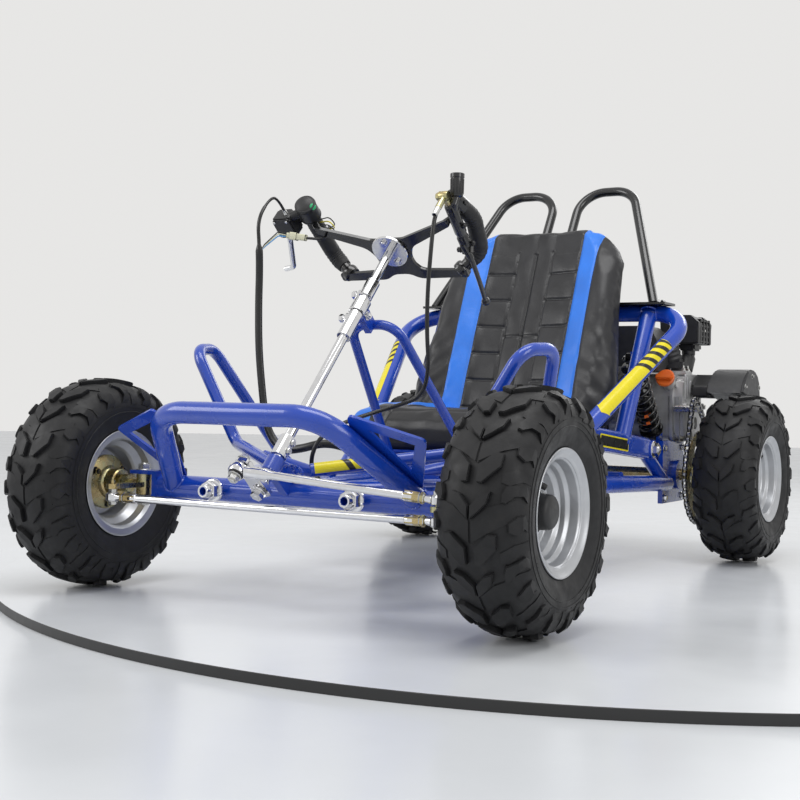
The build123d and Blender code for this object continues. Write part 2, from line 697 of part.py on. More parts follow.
# From the bar down past the foot rests, between the middle tubes, under the seat and up to the carburettor
CARBURETTOR_RUN = (Vector(224, ENGINE_Y - 43, 419) - CARBURETTOR).normalized()
THROTTLE_ROUTE = [
    CABLE_TURN[-1], CABLE_TURN[-1] + DOWN_SHAFT * 30, (-184, -409, 590), (-188, -401, 545), (-190, -399, 490),
    (-185, -402, 410), (-172, -405, 330), (-160, -408, 275), (-126, -414, 238), (-76, -424, 242),
    (-32, -412, 256), (8, -376, 240), (14, -330, 204), (13, -272, 171), (15, -190, 158),
    (12, -100, 161), (15, -10, 157), (12, 80, 160), (14, 165, 153), (24, 240, 150), (62, 290, 170),
    (106, 318, 216), (140, 337, 275), (156, 358, 335), (162, 394, 386), CARBURETTOR - CARBURETTOR_RUN * 55,
    CARBURETTOR,
]

with BuildPart() as throttle_cable:
    add(hose("throttle_cable", THROTTLE_ROUTE, THROTTLE_CABLE_D))

# From the master cylinder down beside the column, under the seat and out over the right rail
BRAKE_ROUTE = [
    BRAKE_HOSE_TOP, BRAKE_HOSE_TOP + DOWN_SHAFT * 26, (147, -388, 580), (140, -385, 505), (136, -377, 435),
    (137, -369, 380), (122, -362, 335), (80, -363, 320), (42, -392, 305), (18, -446, 288), (0, -488, 262),
    (-12, -490, 218), (-15, -448, 188), (-14, -390, 176), (-15, -325, 167), (-14, -245, 160), (-16, -155, 163),
    (-14, -65, 160), (-16, 25, 162), (-15, 115, 157), (-24, 200, 152), (-60, 256, 157), (-110, 288, 170),
    (-168, 306, 186), (-224, 322, 198), (-263, 350, 211), (-266, 394, 240), CALIPER_UNION,
]

with BuildPart() as brake_hose:
    add(hose("brake_hose", BRAKE_ROUTE, BRAKE_HOSE_D))

# KNUCKLES


SPINDLE_D = 15.0
TIE_BALL_R = 9.0

def make_knuckle(side, drag_joint):
    pin = Vector(side * KINGPIN_X, FRONT_Y, AXLE_Z)
    tip = Vector(side * KINGPIN_X, ARM_Y, AXLE_Z)
    with BuildPart() as knuckle:
        height = YOKE_GAP - 2 * FACE_GAP
        add(rod(pin - Vector(0, 0, height / 2), pin + Vector(0, 0, height / 2), 26))
        add(rod(pin, Vector(side * (FRONT_X + 24), FRONT_Y, AXLE_Z), SPINDLE_D))
        add(rod(pin + Vector(side * 30, 0, 0), pin + Vector(side * 44, 0, 0), 30))
        add(block((tip.X - 9, ARM_Y, AXLE_Z - 4), (tip.X + 9, FRONT_Y - 4, AXLE_Z + 4)))
        add(rod(tip - Vector(0, 0, 4), tip + Vector(0, 0, 4), 22))
        top = DRAG_LINK_Z + 10 if drag_joint else AXLE_Z + 10
        add(rod((tip.X, tip.Y, TIE_ROD_Z - 10), (tip.X, tip.Y, top), 8))
        add(rod(pin - Vector(0, 0, 60), pin + Vector(0, 0, 60), KINGPIN_D + 2 * RUN_GAP),
            mode=Mode.SUBTRACT)
    return knuckle.part

with BuildPart() as knuckle_left:
    add(make_knuckle(1, True))

with BuildPart() as knuckle_right:
    add(make_knuckle(-1, False))

def rod_end(centre, bolt, play):
    """An eye around a vertical bolt."""
    with BuildPart() as eye:
        add(rod(Vector(*centre) - Vector(0, 0, 6), Vector(*centre) + Vector(0, 0, 6), 22))
        add(rod(Vector(*centre) - Vector(0, 0, 9), Vector(*centre) + Vector(0, 0, 9), bolt + 2 * play),
            mode=Mode.SUBTRACT)
    return eye.part

with BuildPart() as tie_rod:
    add(rod((-KINGPIN_X + 9, ARM_Y, TIE_ROD_Z), (KINGPIN_X - 9, ARM_Y, TIE_ROD_Z), TIE_ROD_D))
    for side in (-1, 1):
        add(rod((side * (KINGPIN_X - 50), ARM_Y, TIE_ROD_Z), (side * (KINGPIN_X - 9), ARM_Y, TIE_ROD_Z), 15))
        add(rod_end((side * KINGPIN_X, ARM_Y, TIE_ROD_Z), 8, RUN_GAP))

PITMAN_END = on_shaft(-43, PITMAN_LENGTH)
LINK_OUTER = Vector(KINGPIN_X, ARM_Y, DRAG_LINK_Z)

with BuildPart() as drag_link:
    run = (LINK_OUTER - PITMAN_END).normalized()
    add(rod(PITMAN_END + run * 8, LINK_OUTER - run * 8, 12))
    add(rod(PITMAN_END + run * 8, PITMAN_END + run * 46, 16))
    add(rod(LINK_OUTER - run * 50, LINK_OUTER - run * 8, 15))
    with BuildSketch(shaft_plane(-43 - 7)):
        with Locations((0, -PITMAN_LENGTH)):
            Circle(14)
    extrude(amount=14)
    with BuildSketch(shaft_plane(-43 - 20)):
        with Locations((0, -PITMAN_LENGTH)):
            Circle(8.5)
    extrude(amount=40, mode=Mode.SUBTRACT)
    add(rod(LINK_OUTER - Vector(0, 0, 6), LINK_OUTER + Vector(0, 0, 6), 22))
    add(rod(LINK_OUTER - Vector(0, 0, 9), LINK_OUTER + Vector(0, 0, 9), 8 + 2 * RUN_GAP), mode=Mode.SUBTRACT)

# WHEELS

def make_rim(x, y, side, bore, hub_in, hub_out):
    """A pressed steel wheel; u runs outboard from the wheel's middle, r is the radius."""
    seat, flange, well = BEAD_OD / 2, RIM_OD / 2, WELL_OD / 2
    half = RIM_W / 2
    lip = half - RIM_WALL
    outer = [(-lip, flange), (-lip, seat), (-34, seat), (-24, well), (18, well), (28, seat),
             (lip, seat), (lip, flange)]
    inner = [(half, flange), (half, seat - RIM_WALL), (30, seat - RIM_WALL), (20, well - RIM_WALL),
             (-26, well - RIM_WALL), (-36, seat - RIM_WALL), (-half, seat - RIM_WALL), (-half, flange)]
    with BuildPart() as rim:
        with BuildSketch(Plane(origin=(x, y, AXLE_Z), x_dir=(side, 0, 0), z_dir=(0, -side, 0))):
            Polygon(*outer, *inner, align=None)
            with Locations((4, well / 2)):
                Rectangle(5, well - 4)
            with Locations(((hub_in + hub_out) / 2, 11)):
                Rectangle(hub_out - hub_in, 22)
        revolve(axis=Axis((x, y, AXLE_Z), (1, 0, 0)))
        with Locations(Plane(origin=(x, y, AXLE_Z), z_dir=(1, 0, 0))):
            Cylinder(bore / 2, 200, mode=Mode.SUBTRACT)
    return rim.part

def make_tyre(x, y, side):
    seat, flange, crown = BEAD_OD / 2, RIM_OD / 2, TYRE_OD / 2
    lip, wide = RIM_W / 2 - RIM_WALL, TYRE_W / 2
    outer = [(-lip, seat), (-lip, flange), (-wide, 128), (-wide + 3, 152), (-wide + 14, 168),
             (0, crown), (wide - 14, 168), (wide - 3, 152), (wide, 128), (lip, flange), (lip, seat)]
    inner = [(38, seat), (44, flange), (wide - 9, 128), (wide - 15, 152), (0, crown - 10),
             (-wide + 15, 152), (-wide + 9, 128), (-44, flange), (-38, seat)]
    with BuildPart() as tyre:
        with BuildSketch(Plane(origin=(x, y, AXLE_Z), x_dir=(side, 0, 0), z_dir=(0, -side, 0))):
            Polygon(*outer, *inner, align=None)
        revolve(axis=Axis((x, y, AXLE_Z), (1, 0, 0)))
    return tyre.part

SPINDLE_BORE = SPINDLE_D + 2 * RUN_GAP
with BuildPart() as front_left_rim:
    add(make_rim(FRONT_X, FRONT_Y, 1, SPINDLE_BORE, -50, 34))
with BuildPart() as front_right_rim:
    add(make_rim(-FRONT_X, FRONT_Y, -1, SPINDLE_BORE, -50, 34))
with BuildPart() as rear_left_rim:
    add(make_rim(REAR_X, REAR_Y, 1, AXLE_D, -40, 20))
with BuildPart() as rear_right_rim:
    add(make_rim(-REAR_X, REAR_Y, -1, AXLE_D, -40, 20))
with BuildPart() as front_left_tyre:
    add(make_tyre(FRONT_X, FRONT_Y, 1))
with BuildPart() as front_right_tyre:
    add(make_tyre(-FRONT_X, FRONT_Y, -1))
with BuildPart() as rear_left_tyre:
    add(make_tyre(REAR_X, REAR_Y, 1))
with BuildPart() as rear_right_tyre:
    add(make_tyre(-REAR_X, REAR_Y, -1))

with BuildPart() as rear_axle:
    add(rod((-REAR_X - 30, REAR_Y, AXLE_Z), (REAR_X + 30, REAR_Y, AXLE_Z), AXLE_D))
    # Sprocket inside the chain, with teeth and lightening holes
    tip = SPROCKET_R - CHAIN_H / 2 - 1
    with BuildSketch(side_plane(SPROCKET_X - SPROCKET_T / 2, REAR_Y, AXLE_Z)):
        Circle(tip - TOOTH_H)
        with PolarLocations(tip - TOOTH_H, TEETH):
            Polygon((-1, -3.4), (TOOTH_H, -1.2), (TOOTH_H, 1.2), (-1, 3.4), align=None)
        with PolarLocations(60, 6):
            Circle(14, mode=Mode.SUBTRACT)
    extrude(amount=SPROCKET_T)
    # Brake disc with two rings of holes
    with BuildSketch(side_plane(DISC_X - DISC_T / 2, REAR_Y, AXLE_Z)):
        Circle(DISC_R)
        for radius, start in ((66, 0), (54, 15)):
            with PolarLocations(radius, 12, start_angle=start):
                Circle(4, mode=Mode.SUBTRACT)
    extrude(amount=DISC_T)
    for x in (SPROCKET_X, DISC_X):
        add(rod((x - 12, REAR_Y, AXLE_Z), (x + 12, REAR_Y, AXLE_Z), 56))

NODES = {
    "front_beam": front_beam, "front_bumper": front_bumper, "floor_frame": floor_frame,
    "side_loop_left": side_loop_left, "side_loop_right": side_loop_right,
    "column_hoop": column_hoop, "rear_hoop": rear_hoop, "roll_hoops": roll_hoops,
    "rear_subframe": rear_subframe, "shock_left": shock_left, "shock_right": shock_right,
    "spring_left": spring_left, "spring_right": spring_right, "engine_block": engine_block,
    "oil_cap": oil_cap, "engine_shroud": engine_shroud, "air_filter": air_filter,
    "clutch_cover": clutch_cover, "chain": chain, "brake_caliper": brake_caliper,
    "seat_cushion": seat_cushion, "seat_back": seat_back, "steering_column": steering_column,
    "handlebar": handlebar, "grip_left": grip_left, "grip_right": grip_right,
    "brake_lever": brake_lever, "throttle_control": throttle_control,
    "knuckle_left": knuckle_left, "knuckle_right": knuckle_right, "tie_rod": tie_rod,
    "drag_link": drag_link, "front_left_rim": front_left_rim, "front_right_rim": front_right_rim,
    "rear_left_rim": rear_left_rim, "rear_right_rim": rear_right_rim,
    "front_left_tyre": front_left_tyre, "front_right_tyre": front_right_tyre,
    "rear_left_tyre": rear_left_tyre, "rear_right_tyre": rear_right_tyre, "rear_axle": rear_axle,
    "brake_hose": brake_hose, "throttle_cable": throttle_cable, "throttle_cable_loop": throttle_cable_loop,
}

os.makedirs("parts", exist_ok=True)
for name, node in NODES.items():
    node.part.label = name
    export_step(node.part, f"parts/{name}.step")
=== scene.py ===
import math
import random

import bmesh
import bpy
from mathutils import Matrix, Vector


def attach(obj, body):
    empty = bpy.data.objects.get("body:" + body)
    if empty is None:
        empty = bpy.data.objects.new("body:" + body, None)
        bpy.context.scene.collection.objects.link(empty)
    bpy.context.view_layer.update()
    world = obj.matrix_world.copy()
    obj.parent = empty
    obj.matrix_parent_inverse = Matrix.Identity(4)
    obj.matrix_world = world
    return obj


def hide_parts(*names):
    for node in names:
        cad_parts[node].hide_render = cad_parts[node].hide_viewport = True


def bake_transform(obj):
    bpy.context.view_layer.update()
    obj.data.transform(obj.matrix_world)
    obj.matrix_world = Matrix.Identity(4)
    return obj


# Looks of the off-road kart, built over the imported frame.
# Shapes are worked out in millimetres in the frame's axes and scaled to metres when a piece is made.

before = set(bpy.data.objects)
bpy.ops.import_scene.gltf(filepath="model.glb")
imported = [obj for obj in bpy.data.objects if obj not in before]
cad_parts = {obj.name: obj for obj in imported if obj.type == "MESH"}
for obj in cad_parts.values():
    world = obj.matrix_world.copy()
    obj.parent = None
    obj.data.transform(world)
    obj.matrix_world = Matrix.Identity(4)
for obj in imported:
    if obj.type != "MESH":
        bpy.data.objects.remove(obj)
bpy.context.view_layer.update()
MM = 0.001
X_AXIS, Y_AXIS, Z_AXIS = Vector((1, 0, 0)), Vector((0, 1, 0)), Vector((0, 0, 1))

# Sizes shared with the frame
TYRE_R = 177.5
WHEEL_Z = 177.5
FRONT_Y, REAR_Y = -554.0, 554.0
FRONT_X, REAR_X = 403.0, 393.0
KINGPIN_X = 303.0
ARM_Y = FRONT_Y - 75.0
SHAFT_FOOT = Vector((0, -616, 210))
SHAFT_AXIS = Vector((0, 0.671, 0.741)).normalized()
BAR_DIR = Vector((0, -SHAFT_AXIS.z, SHAFT_AXIS.y))
BAR_AT = 512.0
RAIL_X = 240.0
BEAM_R, TUBE_R, CROSS_R, LOOP_R, COLUMN_HOOP_R = 19.0, 17.0, 12.5, 10.5, 8.5


def on_shaft(along, across=0.0, side=0.0):
    """A point by its distance along the steering shaft, up the bar plane and to the left."""
    return SHAFT_FOOT + SHAFT_AXIS * along + BAR_DIR * across + Vector((side, 0, 0))


def bar_point(x, across, lift):
    return on_shaft(BAR_AT + lift, across, x)


# Camera

def make_camera():
    """A camera at the photograph's place, turned by yaw, pitch and roll."""
    yaw, pitch, roll = map(math.radians, (30.75, -1.16, 1.27))
    ahead = Vector((-math.sin(yaw) * math.cos(pitch), math.cos(yaw) * math.cos(pitch), -math.sin(pitch)))
    right = Vector((math.cos(yaw), math.sin(yaw), 0))
    up = right.cross(ahead)
    turned_right = right * math.cos(roll) + up * math.sin(roll)
    turned_up = up * math.cos(roll) - right * math.sin(roll)
    camera = bpy.data.objects.new("camera", bpy.data.cameras.new("camera"))
    bpy.context.collection.objects.link(camera)
    place = Matrix((turned_right, turned_up, -ahead)).transposed().to_4x4()
    place.translation = Vector((1.177, -2.2095, 0.331))
    camera.matrix_world = place
    camera.data.lens = 58.29
    camera.data.sensor_width = 36.0
    camera.data.shift_y = -0.035
    bpy.context.scene.camera = camera


# Mesh helpers

def basis(origin, axis, across=None):
    """A matrix with its z along the axis and its x as near across as that allows."""
    axis = Vector(axis).normalized()
    if across is None:
        across = Z_AXIS if abs(axis.z) < 0.9 else X_AXIS
    x = Vector(across)
    x = (x - axis * x.dot(axis)).normalized()
    m = Matrix((x, axis.cross(x), axis)).transposed().to_4x4()
    m.translation = Vector(origin)
    return m


def circle(count):
    """The angles of a full turn in equal steps."""
    return [2 * math.pi * k / count for k in range(count)]


def radial(turn):
    """The direction at an angle round the X axis."""
    return Vector((0, math.cos(turn), math.sin(turn)))


def skin(bm, rings, closed=False, mat=0):
    """Faces between rings of points; a ring of one point is a pole."""
    made = [[bm.verts.new(p) for p in ring] for ring in rings]
    for low, high in zip(made, made[1:] + (made[:1] if closed else [])):
        count = max(len(low), len(high))
        for i in range(count):
            j = (i + 1) % count
            corners = [low[i % len(low)], low[j % len(low)], high[j % len(high)], high[i % len(high)]]
            corners = list(dict.fromkeys(corners))
            if len(corners) > 2:
                bm.faces.new(corners).material_index = mat
    return made


def lathe(bm, profile, origin, axis, segments=48, mat=0, closed=False):
    """A turned shape from (along, radius) points."""
    m = basis(origin, axis)
    rings = []
    for along, radius in profile:
        if radius < 1e-4:
            rings.append([m @ Vector((0, 0, along))])
        else:
            rings.append([m @ Vector((radius * math.cos(a), radius * math.sin(a), along))
                          for a in circle(segments)])
    skin(bm, rings, closed, mat)


def band(low, high, radius, inner, edge=0.8):
    """The profile of a sleeve with broken edges, from its inner radius out and back."""
    return [(low, inner), (low, radius - edge), (low + edge, radius),
            (high - edge, radius), (high, radius - edge), (high, inner)]


def disc(bm, origin, axis, radius, height, edge=0.6, segments=32, mat=0):
    """A short cylinder with broken edges."""
    edge = min(edge, height / 2.01, radius / 2.01)
    lathe(bm, [(0, 0), (0, radius - edge), (edge, radius), (height - edge, radius),
               (height, radius - edge), (height, 0)], origin, axis, segments, mat)


def rounded(points, radius, steps=4, closed=False):
    """The corners of a line of points rounded by short curves."""
    points = [Vector(p) for p in points]
    radii = radius if isinstance(radius, (list, tuple)) else [radius] * len(points)
    out = [] if closed else [points[0]]
    span = range(len(points)) if closed else range(1, len(points) - 1)
    for i in span:
        corner = points[i]
        back, on = points[i - 1] - corner, points[(i + 1) % len(points)] - corner
        half = back.angle(on, math.pi) / 2
        cut = min(radii[i] / max(math.tan(half), 1e-3), back.length * 0.48, on.length * 0.48)
        start, end = corner + back.normalized() * cut, corner + on.normalized() * cut
        for k in range(steps + 1):
            t = k / steps
            out.append(start * (1 - t) ** 2 + corner * 2 * t * (1 - t) + end * t ** 2)
    return out if closed else out + [points[-1]]


def flat_outline(points, radius, steps=3):
    """A flat closed outline with rounded corners."""
    return [(p.x, p.y) for p in rounded([(a, b, 0) for a, b in points], radius, steps, closed=True)]


def plate(half_wide, half_high, radius, steps=3):
    """The outline of a rectangle about the origin, with rounded corners."""
    return flat_outline([(-half_wide, -half_high), (half_wide, -half_high), (half_wide, half_high),
                         (-half_wide, half_high)], radius, steps)


def tube(bm, points, radius, sides=16, mat=0, closed=False, squeeze=1.0):
    """A round bar along a line of points; radius is one number or one for each point."""
    points = [Vector(p) for p in points]
    radii = radius if isinstance(radius, (list, tuple)) else [radius] * len(points)
    count, rings, side = len(points), [], None
    for i, p in enumerate(points):
        after = points[(i + 1) % count] if closed or i < count - 1 else p
        before = points[i - 1] if closed or i > 0 else p
        ahead = (after - before).normalized()
        if side is None:
            side = basis(p, ahead).col[0].xyz
        side = (side - ahead * side.dot(ahead)).normalized()
        other = ahead.cross(side)
        rings.append([p + (side * math.cos(a) + other * math.sin(a) * squeeze) * radii[i]
                      for a in circle(sides)])
    if not closed:
        rings = [[points[0]]] + rings + [[points[-1]]]
    skin(bm, rings, closed, mat)


def prism(bm, outline, origin, axis, across=None, height=1.0, edge=0.5, mat=0):
    """A flat outline raised along the axis, with broken edges."""
    m = basis(origin, axis, across)
    low = [bm.verts.new(m @ Vector((p[0], p[1], 0))) for p in outline]
    high = [bm.verts.new(m @ Vector((p[0], p[1], height))) for p in outline]
    faces = [bm.faces.new(low), bm.faces.new(high)]
    count = len(outline)
    for i in range(count):
        j = (i + 1) % count
        faces.append(bm.faces.new((low[i], low[j], high[j], high[i])))
    for face in faces:
        face.material_index = mat
    if edge > 0:
        rim = [e for f in faces[:2] for e in f.edges]
        bmesh.ops.bevel(bm, geom=rim, offset=edge, segments=2, affect="EDGES", clamp_overlap=True)


def brick(bm, low, high, edge=1.5, mat=0):
    """A box between two corners with rounded edges."""
    low, high = Vector(low), Vector(high)
    made = bmesh.ops.create_cube(bm, size=1.0)["verts"]
    for v in made:
        v.co = Vector([low[k] + (high[k] - low[k]) * (v.co[k] + 0.5) for k in range(3)])
    edges = {e for v in made for e in v.link_edges}
    for face in {f for v in made for f in v.link_faces}:
        face.material_index = mat
    if edge > 0:
        bmesh.ops.bevel(bm, geom=list(edges), offset=edge, segments=2, affect="EDGES", clamp_overlap=True)


def hexagon(across_flats):
    radius = across_flats / 2 / math.cos(math.pi / 6)
    return [(radius * math.cos(a), radius * math.sin(a)) for a in circle(6)]


def bolt(bm, origin, axis, flats=10.0, head=5.0, washer=True, stub=0.0, mat=0):
    """A hexagon head on a washer, with a stub of thread past it."""
    origin, axis = Vector(origin), Vector(axis).normalized()
    if washer:
        disc(bm, origin, axis, flats * 0.72, 1.4, 0.4, 24, mat)
        origin = origin + axis * 1.2
    prism(bm, hexagon(flats), origin, axis, height=head, edge=0.7, mat=mat)
    if stub > 0:
        disc(bm, origin + axis * head * 0.8, axis, flats * 0.3, stub, 0.6, 16, mat)


def raised(bm, outline, height, place, step=6.0, sink=1.0, edge=0.8, mat=0):
    """A flat outline cut into small faces, thickened and laid on a curved surface by place(a, b, h)."""
    flat = bmesh.new()
    low = [flat.verts.new((a, b, -sink)) for a, b in outline]
    high = [flat.verts.new((a, b, height)) for a, b in outline]
    top = flat.faces.new(high)
    flat.faces.new(low[::-1])
    count = len(outline)
    for i in range(count):
        j = (i + 1) % count
        flat.faces.new((low[i], low[j], high[j], high[i]))
    if edge > 0:
        bmesh.ops.bevel(flat, geom=list(top.edges), offset=edge, segments=2, affect="EDGES",
                        clamp_overlap=True)
    for k in range(2):
        values = [p[k] for p in outline]
        cut = min(values) + step / 2
        while cut < max(values):
            normal = Vector((k == 0, k == 1, 0))
            bmesh.ops.bisect_plane(flat, geom=flat.verts[:] + flat.edges[:] + flat.faces[:],
                                   plane_co=normal * cut, plane_no=normal)
            cut += step
    twin = {v: bm.verts.new(place(*v.co)) for v in flat.verts}
    for face in flat.faces:
        bm.faces.new([twin[v] for v in face.verts]).material_index = mat
    flat.free()


def piece(name, bm, body, materials, stands_for=(), angle=38):
    """Makes the mesh an object in metres that rides on its body."""
    bmesh.ops.scale(bm, vec=(MM, MM, MM), verts=bm.verts)
    bmesh.ops.recalc_face_normals(bm, faces=bm.faces)
    mesh = bpy.data.meshes.new(name)
    bm.to_mesh(mesh)
    bm.free()
    for m in materials if isinstance(materials, (list, tuple)) else [materials]:
        mesh.materials.append(m)
    mesh.polygons.foreach_set("use_smooth", [True] * len(mesh.polygons))
    mesh.set_sharp_from_angle(angle=math.radians(angle))
    obj = bpy.data.objects.new(name, mesh)
    bpy.context.collection.objects.link(obj)
    if body:
        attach(obj, body)
    if stands_for:
        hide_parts(*stands_for)
    return obj


# Materials

def pattern(tree, kind, scale, stretch=(1, 1, 1), **inputs):
    """A texture node on the object's own coordinates."""
    links, make = tree.links, tree.nodes.new
    coords, mapping = make("ShaderNodeTexCoord"), make("ShaderNodeMapping")
    texture = make("ShaderNodeTex" + kind)
    mapping.inputs["Scale"].default_value = stretch
    texture.inputs["Scale"].default_value = scale
    for key, value in inputs.items():
        texture.inputs[key].default_value = value
    links.new(coords.outputs["Object"], mapping.inputs["Vector"])
    links.new(mapping.outputs["Vector"], texture.inputs["Vector"])
    return texture


def ramp(tree, source, stops):
    """Colours at places from 0 to 1 along a texture's value."""
    node = tree.nodes.new("ShaderNodeValToRGB")
    while len(node.color_ramp.elements) < len(stops):
        node.color_ramp.elements.new(0.5)
    for element, (place, colour) in zip(node.color_ramp.elements, stops):
        element.position = place
        element.color = (*colour, 1) if len(colour) == 3 else (*[colour[0]] * 3, 1)
    tree.links.new(source, node.inputs["Fac"])
    return node.outputs["Color"]


def surface(name, colours, rough, colour_scale=30, rough_scale=60, bumps=(), **sockets):
    """A principled surface: mottled colour, uneven roughness and one or more bump layers.
    colours is a list of stops; a bump is (kind, scale, strength, depth in mm) and may add a stretch."""
    m = bpy.data.materials.new(name)
    m.use_nodes = True
    tree = m.node_tree
    shader = tree.nodes["Principled BSDF"]
    for key, value in sockets.items():
        shader.inputs[key.replace("_", " ")].default_value = value
    mottle = pattern(tree, "Noise", colour_scale, Detail=6.0, Roughness=0.6)
    tree.links.new(ramp(tree, mottle.outputs[0], colours), shader.inputs["Base Color"])
    polish = pattern(tree, "Noise", rough_scale, Detail=5.0, Roughness=0.55)
    tree.links.new(ramp(tree, polish.outputs[0], [(0.3, (rough[0],)), (0.7, (rough[1],))]),
                   shader.inputs["Roughness"])
    before = None
    for kind, scale, strength, depth, *stretch in bumps:
        relief = pattern(tree, kind, scale, *stretch)
        bump = tree.nodes.new("ShaderNodeBump")
        bump.inputs["Strength"].default_value = strength
        bump.inputs["Distance"].default_value = depth * MM
        tree.links.new(relief.outputs[0], bump.inputs["Height"])
        if before:
            tree.links.new(before.outputs["Normal"], bump.inputs["Normal"])
        before = bump
    if before:
        tree.links.new(before.outputs["Normal"], shader.inputs["Normal"])
    return m


def tones(colour, spread=0.12):
    """Two stops, a little darker and a little lighter than a colour."""
    return [(0.3, [c * (1 - spread) for c in colour]), (0.7, [min(1, c * (1 + spread)) for c in colour])]


PEEL = ("Noise", 260, 0.05, 0.4)
CAST = ("Noise", 420, 0.35, 0.6)
GRAIN = ("Voronoi", 620, 0.22, 0.5)

BLUE = surface("blue_paint", tones((0.006, 0.058, 0.46), 0.10), (0.20, 0.30), 7, 40, [PEEL],
               Coat_Weight=0.6, Coat_Roughness=0.06)
GLOSS_BLACK = surface("gloss_black_paint", tones((0.008, 0.008, 0.009)), (0.14, 0.24), 20, 40, [PEEL],
                      Coat_Weight=0.4, Coat_Roughness=0.08)
SATIN_BLACK = surface("satin_black_plastic", tones((0.016, 0.016, 0.017), 0.2), (0.38, 0.52), 60, 80,
                      [("Noise", 900, 0.20, 0.3)])
CARBON_GREY = surface("grey_plastic", tones((0.035, 0.035, 0.037), 0.15), (0.42, 0.58), 60, 80,
                      [("Noise", 700, 0.25, 0.3)])
CHROME = surface("chrome", tones((0.74, 0.74, 0.75), 0.05), (0.07, 0.17), 90, 35, [("Noise", 500, 0.04, 0.2)],
                 Metallic=1.0)
STEEL = surface("bright_zinc", tones((0.62, 0.62, 0.60)), (0.20, 0.36), 130, 160, [("Noise", 700, 0.12, 0.3)],
                Metallic=1.0)
GOLD_ZINC = surface("yellow_zinc", [(0.25, (0.34, 0.24, 0.10)), (0.45, (0.52, 0.41, 0.20)),
                                    (0.60, (0.46, 0.46, 0.27)), (0.75, (0.48, 0.31, 0.24))],
                    (0.20, 0.36), 34, 90, [("Noise", 600, 0.12, 0.3)], Metallic=1.0)
RUBBER = surface("tyre_rubber", [(0.25, (0.005, 0.005, 0.006)), (0.62, (0.011, 0.011, 0.012)),
                                 (0.85, (0.024, 0.022, 0.021))],
                 (0.42, 0.66), 24, 46, [("Noise", 330, 0.22, 0.6), ("Noise", 60, 0.10, 1.2)],
                 Specular_IOR_Level=0.38)
GRIP = surface("grip_rubber", tones((0.012, 0.012, 0.013)), (0.50, 0.68), 60, 90, [("Noise", 900, 0.30, 0.4)])
SILVER = surface("silver_paint", tones((0.50, 0.51, 0.53), 0.06), (0.30, 0.40), 40, 60,
                 [("Noise", 800, 0.06, 0.2)], Metallic=0.75, Coat_Weight=0.2, Coat_Roughness=0.2)
ALLOY = surface("cast_alloy", [(0.25, (0.44, 0.43, 0.42)), (0.55, (0.60, 0.60, 0.60)),
                               (0.80, (0.70, 0.70, 0.70))],
                (0.36, 0.55), 26, 60, [CAST], Metallic=0.6)
DUSTY = surface("dusty_casting", [(0.25, (0.13, 0.12, 0.115)), (0.60, (0.24, 0.23, 0.225)),
                                  (0.85, (0.33, 0.32, 0.31))],
                (0.55, 0.75), 30, 60, [CAST], Metallic=0.3)
HOSE = surface("hose_jacket", tones((0.010, 0.010, 0.010), 0.25), (0.22, 0.38), 40, 70,
               [("Noise", 500, 0.15, 0.3)])


def smooth_plastic(name, colour, spread, rough, colour_scale=60, rough_scale=80):
    return surface(name, tones(colour, spread), rough, colour_scale, rough_scale, [PEEL])


ORANGE = smooth_plastic("orange_plastic", (0.90, 0.17, 0.02), 0.06, (0.28, 0.40))
GREEN = smooth_plastic("green_plastic", (0.02, 0.42, 0.16), 0.08, (0.30, 0.42))
CREAM = smooth_plastic("cream_nylon", (0.72, 0.70, 0.50), 0.06, (0.34, 0.46))
SKY = smooth_plastic("blue_wire", (0.10, 0.35, 0.70), 0.08, (0.34, 0.46))
YELLOW = smooth_plastic("yellow_film", (0.88, 0.74, 0.015), 0.05, (0.22, 0.32), 50, 60)
INK = smooth_plastic("black_film", (0.010, 0.010, 0.010), 0.2, (0.24, 0.34), 50, 60)


# Hoses

CABLE_TURN = [bar_point(*p) for p in ((-188, 86, 13), (-187, 120, 13), (-186, 137, -3), (-186, 137, -28))]
CARBURETTOR = Vector((205, 505, 417))
CARBURETTOR_RUN = (Vector((224, 552, 419)) - CARBURETTOR).normalized()
THROTTLE_ROUTE = [
    CABLE_TURN[-1], CABLE_TURN[-1] - SHAFT_AXIS * 30, (-184, -409, 590), (-188, -401, 545), (-190, -399, 490),
    (-185, -402, 410), (-172, -405, 330), (-160, -408, 275), (-126, -414, 238), (-76, -424, 242),
    (-32, -412, 256), (8, -376, 240), (14, -330, 204), (13, -272, 171), (15, -190, 158),
    (12, -100, 161), (15, -10, 157), (12, 80, 160), (14, 165, 153), (24, 240, 150), (62, 290, 170),
    (106, 318, 216), (140, 337, 275), (156, 358, 335), (162, 394, 386), CARBURETTOR - CARBURETTOR_RUN * 55,
    CARBURETTOR,
]
BRAKE_HOSE_TOP = bar_point(148, 108, -18)
CALIPER_UNION = (-266, 438, 240)
BRAKE_ROUTE = [
    BRAKE_HOSE_TOP, BRAKE_HOSE_TOP - SHAFT_AXIS * 26, (147, -388, 580), (140, -385, 505), (136, -377, 435),
    (137, -369, 380), (122, -362, 335), (80, -363, 320), (42, -392, 305), (18, -446, 288), (0, -488, 262),
    (-12, -490, 218), (-15, -448, 188), (-14, -390, 176), (-15, -325, 167), (-14, -245, 160), (-16, -155, 163),
    (-14, -65, 160), (-16, 25, 162), (-15, 115, 157), (-24, 200, 152), (-60, 256, 157), (-110, 288, 170),
    (-168, 306, 186), (-224, 322, 198), (-263, 350, 211), (-266, 394, 240), CALIPER_UNION,
]


